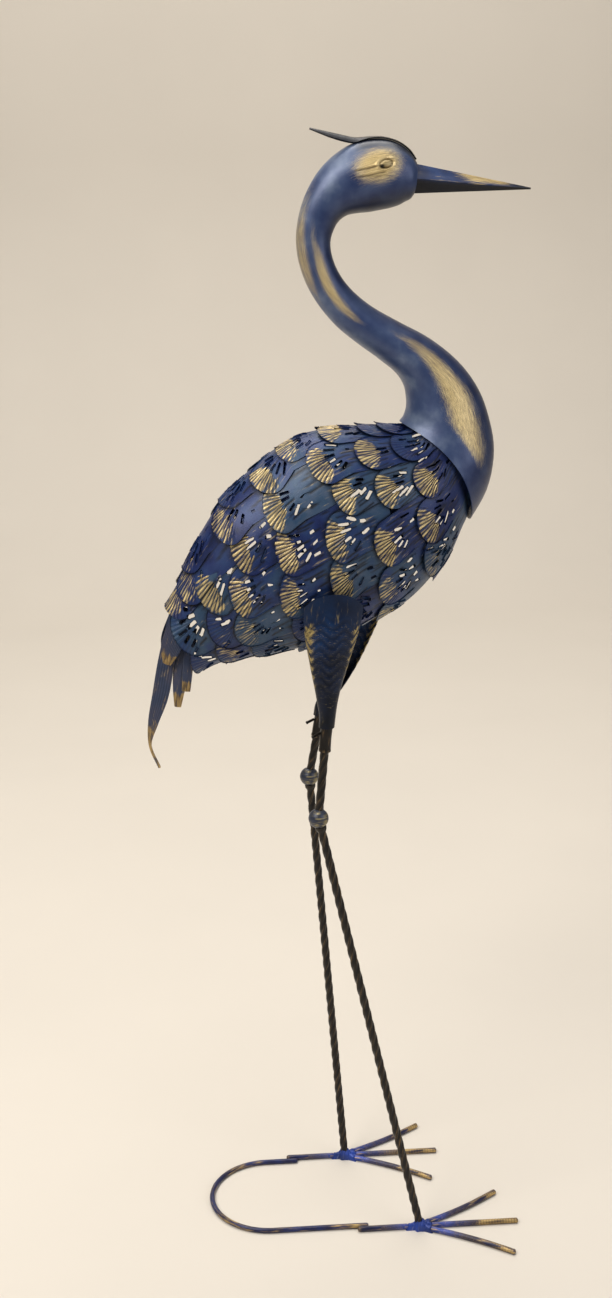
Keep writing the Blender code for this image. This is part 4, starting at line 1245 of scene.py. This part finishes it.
TOE_LENGTH = 0.105
TOE_SPLAY = 30.0
TOE_BOW = 0.0025
BACK_TOE_LENGTH = 0.066
WELD_RADIUS = (TOE_ROD + 0.0003) / (2 * math.sin(math.radians(TOE_SPLAY / 2))) - 0.0003
WELD_HEIGHT = 0.0092
LOOP_LAP = 0.012
LOOP_REAR_X = -0.133


def spaced(first, last, step):
    """Shares of a rod from 0 to 1 at about even steps, crowded at both ends so that they round off."""
    count = max(6, round((last - first).length / step))
    inner = np.linspace(0, 1, count + 1)
    trim = 0.0010 / (last - first).length
    return np.unique(np.concatenate([[0, trim], inner[1:-1], [1 - trim, 1]]))


# The bead of weld: how far it runs out along each toe, its half width there, and the mound round the leg
BEAD_REACH = 0.0155
BEAD_HALF_WIDTH = 0.0036
BEAD_MOUND = 0.0062
# Gold along the toes: where it starts as a share of the length, and its strength, on the right foot and the left
TOE_GOLD = {
    "right": {"inner": (0.80, 0.45), "middle": (0.55, 1.0), "outer": (0.75, 0.40)},
    "left": {"inner": (0.60, 0.35), "middle": (0.35, 0.40), "outer": (0.82, 0.90)},
}


def make_bead(side_name, ankle, directions, finish):
    """The weld that runs round the end of the leg and out over the root of each toe."""
    angles = 2 * np.pi * np.arange(144)[None] / 144
    share = np.linspace(0.03, 1.0, 26)[:, None]
    turns = [angles - direction for direction in directions]
    arms = [
        np.where(np.cos(t) > 0, np.minimum(BEAD_HALF_WIDTH / np.maximum(np.abs(np.sin(t)), 1e-6), BEAD_REACH), 0) for t in turns
    ]
    rim = np.maximum(np.max(arms, axis=0), BEAD_MOUND * (1.1 + 0.1 * np.sin(5 * angles)))
    r = rim * np.sin(share * math.pi / 2)
    over_toes = [
        np.sqrt(np.clip(1 - (r * np.sin(t) / BEAD_HALF_WIDTH) ** 2, 0, 1)) * (np.cos(t) > 0) * ramp(r, BEAD_REACH, BEAD_REACH * 0.75)
        for t in turns
    ]
    lumps = 1 + 0.05 * np.sin(9 * angles + 900 * r) + 0.04 * np.sin(4 * angles - 600 * r)
    mound = (WELD_HEIGHT + 0.0012) * np.clip(1.25 - (r / BEAD_MOUND) ** 2 * 0.55, 0, 1)
    z = np.maximum(0.0066 * np.max(over_toes, axis=0), mound) * lumps * ramp(share, 1.0, 0.90)
    points = np.stack([ankle.x + r * np.cos(angles), ankle.y + r * np.sin(angles), z], -1)[::-1]
    shape = points.shape[:2]
    last = (shape[0] - 1) * shape[1]
    marks = {
        "along": 0.5 * r[::-1],
        "around": 0.01 * angles + 0 * r,
        "gold": np.clip(3.0 * (lumps - 1.03), 0, 0.35)[::-1] + 0 * r,
        "shade": np.zeros(shape),
        "tone": np.full(shape, 1.0),
    }
    marks = {mark: np.ravel(values) for mark, values in marks.items()}
    node = f"{side_name}_ankle_weld"
    caps = [range(shape[1] - 1, -1, -1), range(last, last + shape[1])]
    make_piece(f"{node}_bead", points, grid_cells(*shape, ring=True), finish, [node], marks, caps=caps)


def make_foot(side_name, leg, finish, weld_finish):
    """The weld, the three ribbed front toes and the back toe."""
    ankle = middle_of(f"{side_name}_ankle_weld")
    ankle.z = TOE_ROD / 2
    splay = math.radians(TOE_SPLAY)
    make_bead(side_name, ankle, (-splay, 0.0, splay, math.pi), weld_finish)
    for toe, turn, bow in (("inner", -leg["side"], 1), ("middle", 0, 0), ("outer", leg["side"], -1)):
        angle = splay * turn
        ahead = Vector((math.cos(angle), math.sin(angle), 0))
        across = Vector((-ahead.y, ahead.x, 0)) * (TOE_BOW * bow * leg["side"])
        start, end = ankle + ahead * (WELD_RADIUS + 0.0003), ankle + ahead * TOE_LENGTH
        s = spaced(start, end, 0.0009)
        path = [start.lerp(end, k) + across * math.sin(math.pi * k) for k in s]
        ribs = 0.5 + 0.5 * np.cos(2 * np.pi * s * (end - start).length / 0.0030)
        gilt_from, strength = TOE_GOLD[side_name][toe]
        ribbed = ramp(s, gilt_from - 0.05, gilt_from + 0.05) * strength
        radii = rod_radii(len(s), TOE_ROD / 2 - 0.00005) * (1 - 0.13 * (1 - ribs) * ribbed)[:, None]
        gold = (strength * ramp(s, gilt_from - 0.08, gilt_from + 0.08) * (0.5 + 0.5 * ribs) + 0.20)[:, None]
        # painted shade in the grooves between the ribs
        shade = (0.5 * (1 - ribs) * ribbed)[:, None]
        node = f"{side_name}_toe_{toe}"
        tone = (1.0 - 0.9 * ramp(s, 0.10, 0.55))[:, None]
        make_bar(f"{node}_rod", path, radii, (0, 0, 1), finish, node, gold, shade, tone=tone)
    start, end = ankle + Vector((-WELD_RADIUS - 0.0003, 0, 0)), ankle + Vector((-BACK_TOE_LENGTH, 0, 0))
    s = spaced(start, end, 0.002)
    node = f"{side_name}_toe_back"
    radii = rod_radii(len(s), TOE_ROD / 2 - 0.00005)
    tone = (1.0 - 0.8 * ramp(s, 0.10, 0.55))[:, None]
    make_bar(f"{node}_rod", [start.lerp(end, k) for k in s], radii, (0, 0, 1), finish, node, 0.22, 0.0, tone=tone)


def make_rear_loop(finish):
    """The rod bent to a U behind the feet."""
    half = LEG_SPREAD / 2 - (TOE_ROD + LOOP_ROD) / 2 - 0.0003
    centre_x, height = LOOP_REAR_X + half, LOOP_ROD / 2
    ends = {
        side_name: middle_of(f"{side_name}_ankle_weld").x - BACK_TOE_LENGTH + LOOP_LAP
        for side_name in LEGS
    }
    bend = [
        Vector((centre_x + half * math.cos(a), half * math.sin(a), height))
        for a in np.linspace(-math.pi / 2, -3 * math.pi / 2, 73)
    ]
    right_end, left_end = Vector((ends["right"], -half, height)), Vector((ends["left"], half, height))
    path = [right_end.lerp(bend[0], k) for k in spaced(right_end, bend[0], 0.003)[:-2]] + bend
    path += [bend[-1].lerp(left_end, k) for k in spaced(bend[-1], left_end, 0.003)[2:]]
    radii = rod_radii(len(path), LOOP_ROD / 2 - 0.00003)
    worn = 0.22 + 0.25 * np.sin(np.arange(len(path)) * 0.21) * np.sin(np.arange(len(path)) * 0.067 + 1)
    make_bar("rear_loop_rod", path, radii, (0, 0, 1), finish, "rear_loop", np.clip(worn, 0, 1)[:, None], 0.0, tone=0.3)


def make_leg(side_name, leg, shadowed_thigh_blue, foot_blue, weld_blue, bronze, ball_grey):
    """One leg from the thigh to the toes."""
    knee = middle_of(f"{side_name}_knee_ball")
    socket = middle_of(f"{side_name}_leg_socket")
    ankle = middle_of(f"{side_name}_ankle_weld")
    ankle.z = TOE_ROD / 2
    up, down = (socket - knee).normalized(), (ankle - knee).normalized()
    low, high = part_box(f"{side_name}_knee_ball")
    radius = (high.x - low.x) / 2
    stub = radius * 0.85
    _, upper_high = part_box(f"{side_name}_upper_leg")
    lower_low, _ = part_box(f"{side_name}_lower_leg")
    make_thigh(side_name, leg, shadowed_thigh_blue)
    make_socket(side_name, bronze)
    reach = (upper_high.z - knee.z) / up.z - 0.0004
    upper, lower = f"{side_name}_upper_leg", f"{side_name}_lower_leg"
    make_twisted_bar(f"{upper}_bar", knee + up * stub, knee + up * reach, bronze, upper, 0.12, 0.0)
    make_ball(f"{side_name}_knee_joint", knee, radius, ball_grey, f"{side_name}_knee_ball")
    reach = (lower_low.z - knee.z) / down.z + 0.0005
    make_twisted_bar(f"{lower}_bar", knee + down * stub, knee + down * reach, bronze, lower, 0.22, 1.0)
    make_foot(side_name, leg, foot_blue, weld_blue)


# Studio


def plain_finish(name, code, roughness):
    """A matt studio surface with a faint mottle, so that it reads as paper and not as a void."""
    made = bpy.data.materials.new(name)
    made.use_nodes = True
    tree = made.node_tree
    shader = tree.nodes["Principled BSDF"]
    place = add(tree, "TexCoord").outputs["Object"]
    mottle = add(tree, "TexNoise", {"Vector": place, "Scale": 3.0, "Detail": 2.0})
    tint = add(tree, "MapRange", {"Value": mottle.outputs["Fac"], "To Min": 0.97, "To Max": 1.03})
    colour = add(tree, "VectorMath", {0: linear(code)[:3], "Scale": tint.outputs[0]}, operation="SCALE")
    tree.links.new(colour.outputs[0], shader.inputs["Base Color"])
    shader.inputs["Roughness"].default_value = roughness
    return made


def make_studio():
    """A plain pale sweep behind and under the statue, soft lights and the photograph's camera."""
    wall_y, corner, width, height = 3.7, 1.2, 5.0, 5.0
    profile = [(-4.5, 0.0), (wall_y - corner, 0.0)]
    profile += [
        (wall_y - corner + corner * math.sin(a), corner - corner * math.cos(a)) for a in np.linspace(0, math.pi / 2, 17)[1:]
    ]
    profile.append((wall_y, height))
    points = [(x, y, z) for y, z in profile for x in (-width, width)]
    mesh = bpy.data.meshes.new("studio_sweep")
    mesh.from_pydata(points, [], grid_cells(len(profile), 2).tolist())
    mesh.shade_smooth()
    mesh.materials.append(plain_finish("pale_paper_sweep", "#D8D1C6", 0.85))
    sweep = bpy.data.objects.new("studio_sweep", mesh)
    bpy.context.scene.collection.objects.link(sweep)
    statue = Vector((0, 0, 0.62))
    for name, place, aim, size, power, colour in (
        ("key_softbox", (-1.5, -1.2, 2.3), statue, 1.3, 50.0, "#FFFAF3"),
        ("fill_softbox", (1.9, -1.5, 1.5), statue, 1.6, 20.0, "#F6F7FF"),
        ("top_softbox", (-0.2, 0.15, 2.9), statue, 2.4, 38.0, "#FFFCF8"),
        ("wall_softbox", (0.0, 2.0, 4.4), Vector((0, 3.9, 0.9)), 3.0, 105.0, "#FFFAF3"),
    ):
        light = bpy.data.lights.new(name, "AREA")
        light.size = size
        light.energy = power
        light.color = linear(colour)[:3]
        lamp = bpy.data.objects.new(name, light)
        lamp.location = place
        lamp.rotation_mode = "QUATERNION"
        lamp.rotation_quaternion = (aim - Vector(place)).to_track_quat("-Z", "Y")
        bpy.context.scene.collection.objects.link(lamp)
    world = bpy.data.worlds.new("studio_air")
    world.use_nodes = True
    world.node_tree.nodes["Background"].inputs["Color"].default_value = linear("#F4F0EA")
    world.node_tree.nodes["Background"].inputs["Strength"].default_value = 0.16
    bpy.context.scene.world = world
    bpy.context.scene.view_settings.view_transform = "Standard"
    camera_data = bpy.data.cameras.new("photo_camera")
    camera_data.sensor_width = SENSOR
    camera_data.lens = FOCAL_PIXELS / PHOTO_SIZE[1] * SENSOR
    camera = bpy.data.objects.new("photo_camera", camera_data)
    azimuth, pitch = math.radians(CAMERA_AZIMUTH), math.radians(CAMERA_PITCH)
    sight = Vector((-math.sin(azimuth) * math.cos(pitch), math.cos(azimuth) * math.cos(pitch), -math.sin(pitch)))
    camera.location = CAMERA_PLACE
    camera.rotation_mode = "QUATERNION"
    camera.rotation_quaternion = sight.to_track_quat("-Z", "Y")
    bpy.context.scene.collection.objects.link(camera)
    bpy.context.scene.camera = camera


def main():
    """Builds the statue's pieces and the studio round them."""
    # the lightest neck coats are painted sheen where the tone mark runs high
    navy = ("#0B1434", "#1B2D58", "#3A4A6E", "#66748C")
    beak_navy = ("#060F2A", "#0E2046", "#193463", "#2C4670")
    # darker, more saturated coats for the thighs: painted shade under the body
    shadowed_thigh_navy = ("#01060F", "#02132E", "#05274F", "#0A3666")
    leaf_navy = ("#08122E", "#122355", "#1F3562", "#2A4460", "#46546C")
    plume_navy = ("#141A2E", "#23304E", "#39435C", "#4A4A5E")
    foot_navy = ("#14152A", "#1D2145", "#20316A", "#2A47A0")
    head_blue = rubbed_enamel("navy_enamel_on_neck", "blue_paint", navy, ("#977C46", "#EED9A2"), stroke=0.0011, coat=0.35, streak=2.0)
    leaf_blue = rubbed_enamel("navy_enamel_on_feathers", "blue_paint", leaf_navy, ("#7F6A42", "#DEC994"), rub=-0.12, stroke=0.0012, roughness=0.44)
    plume_blue = rubbed_enamel("grey_blue_enamel_on_tail", "blue_paint", plume_navy, ("#6B5634", "#BFA472"), stroke=0.0010)
    # the thighs' navy, darkened as painted shade under the body
    shadowed_thigh_blue = rubbed_enamel("shadowed_navy_enamel_on_thighs", "blue_paint", shadowed_thigh_navy, ("#6B5C38", "#C9B47A"), stroke=0.0012, coat=0.05)
    foot_blue = rubbed_enamel("violet_navy_enamel_on_feet", "blue_paint", foot_navy, ("#54423A", "#C4A76E"), rub=0.10, stroke=0.0012)
    weld_blue = rubbed_enamel("bright_enamel_on_welds", "blue_paint", foot_navy, ("#4A4E6A", "#9AA0B8"), stroke=0.0012)
    bar_brown = ("#0A0908", "#14120F", "#1F1B17", "#2A2520")
    bronze = rubbed_enamel(
        "brown_black_enamel_on_bars", "black_gold_paint", bar_brown, ("#3D3226", "#80694A"), stroke=0.0010, metal=0.4
    )
    ball_coats = ("#15161C", "#20232C", "#2C3140", "#3A4050")
    ball_grey = rubbed_enamel("blue_grey_enamel_on_balls", "black_gold_paint", ball_coats, ("#5C563F", "#A99C74"), rub=-0.20, stroke=0.0010)
    beak_blue = rubbed_enamel("navy_enamel_on_beak", "blue_paint", beak_navy, ("#7D6840", "#D9C28C"), stroke=0.0010, coat=0.05)
    make_neck(head_blue)
    make_beak(beak_blue)
    make_crest(beak_blue)
    make_feathers(leaf_blue)
    for name, (spine, half_widths, fold, turn) in TAIL_PLUMES.items():
        make_plume(name, spine, half_widths, fold, turn, plume_blue)
        if "right" in name:
            mirrored = [(x, -y, z) for x, y, z in spine]
            make_plume(name.replace("right", "left"), mirrored, half_widths, fold, -turn, plume_blue)
    for side_name, leg in LEGS.items():
        make_leg(side_name, leg, shadowed_thigh_blue, foot_blue, weld_blue, bronze, ball_grey)
    make_rear_loop(foot_blue)
    make_studio()


main()
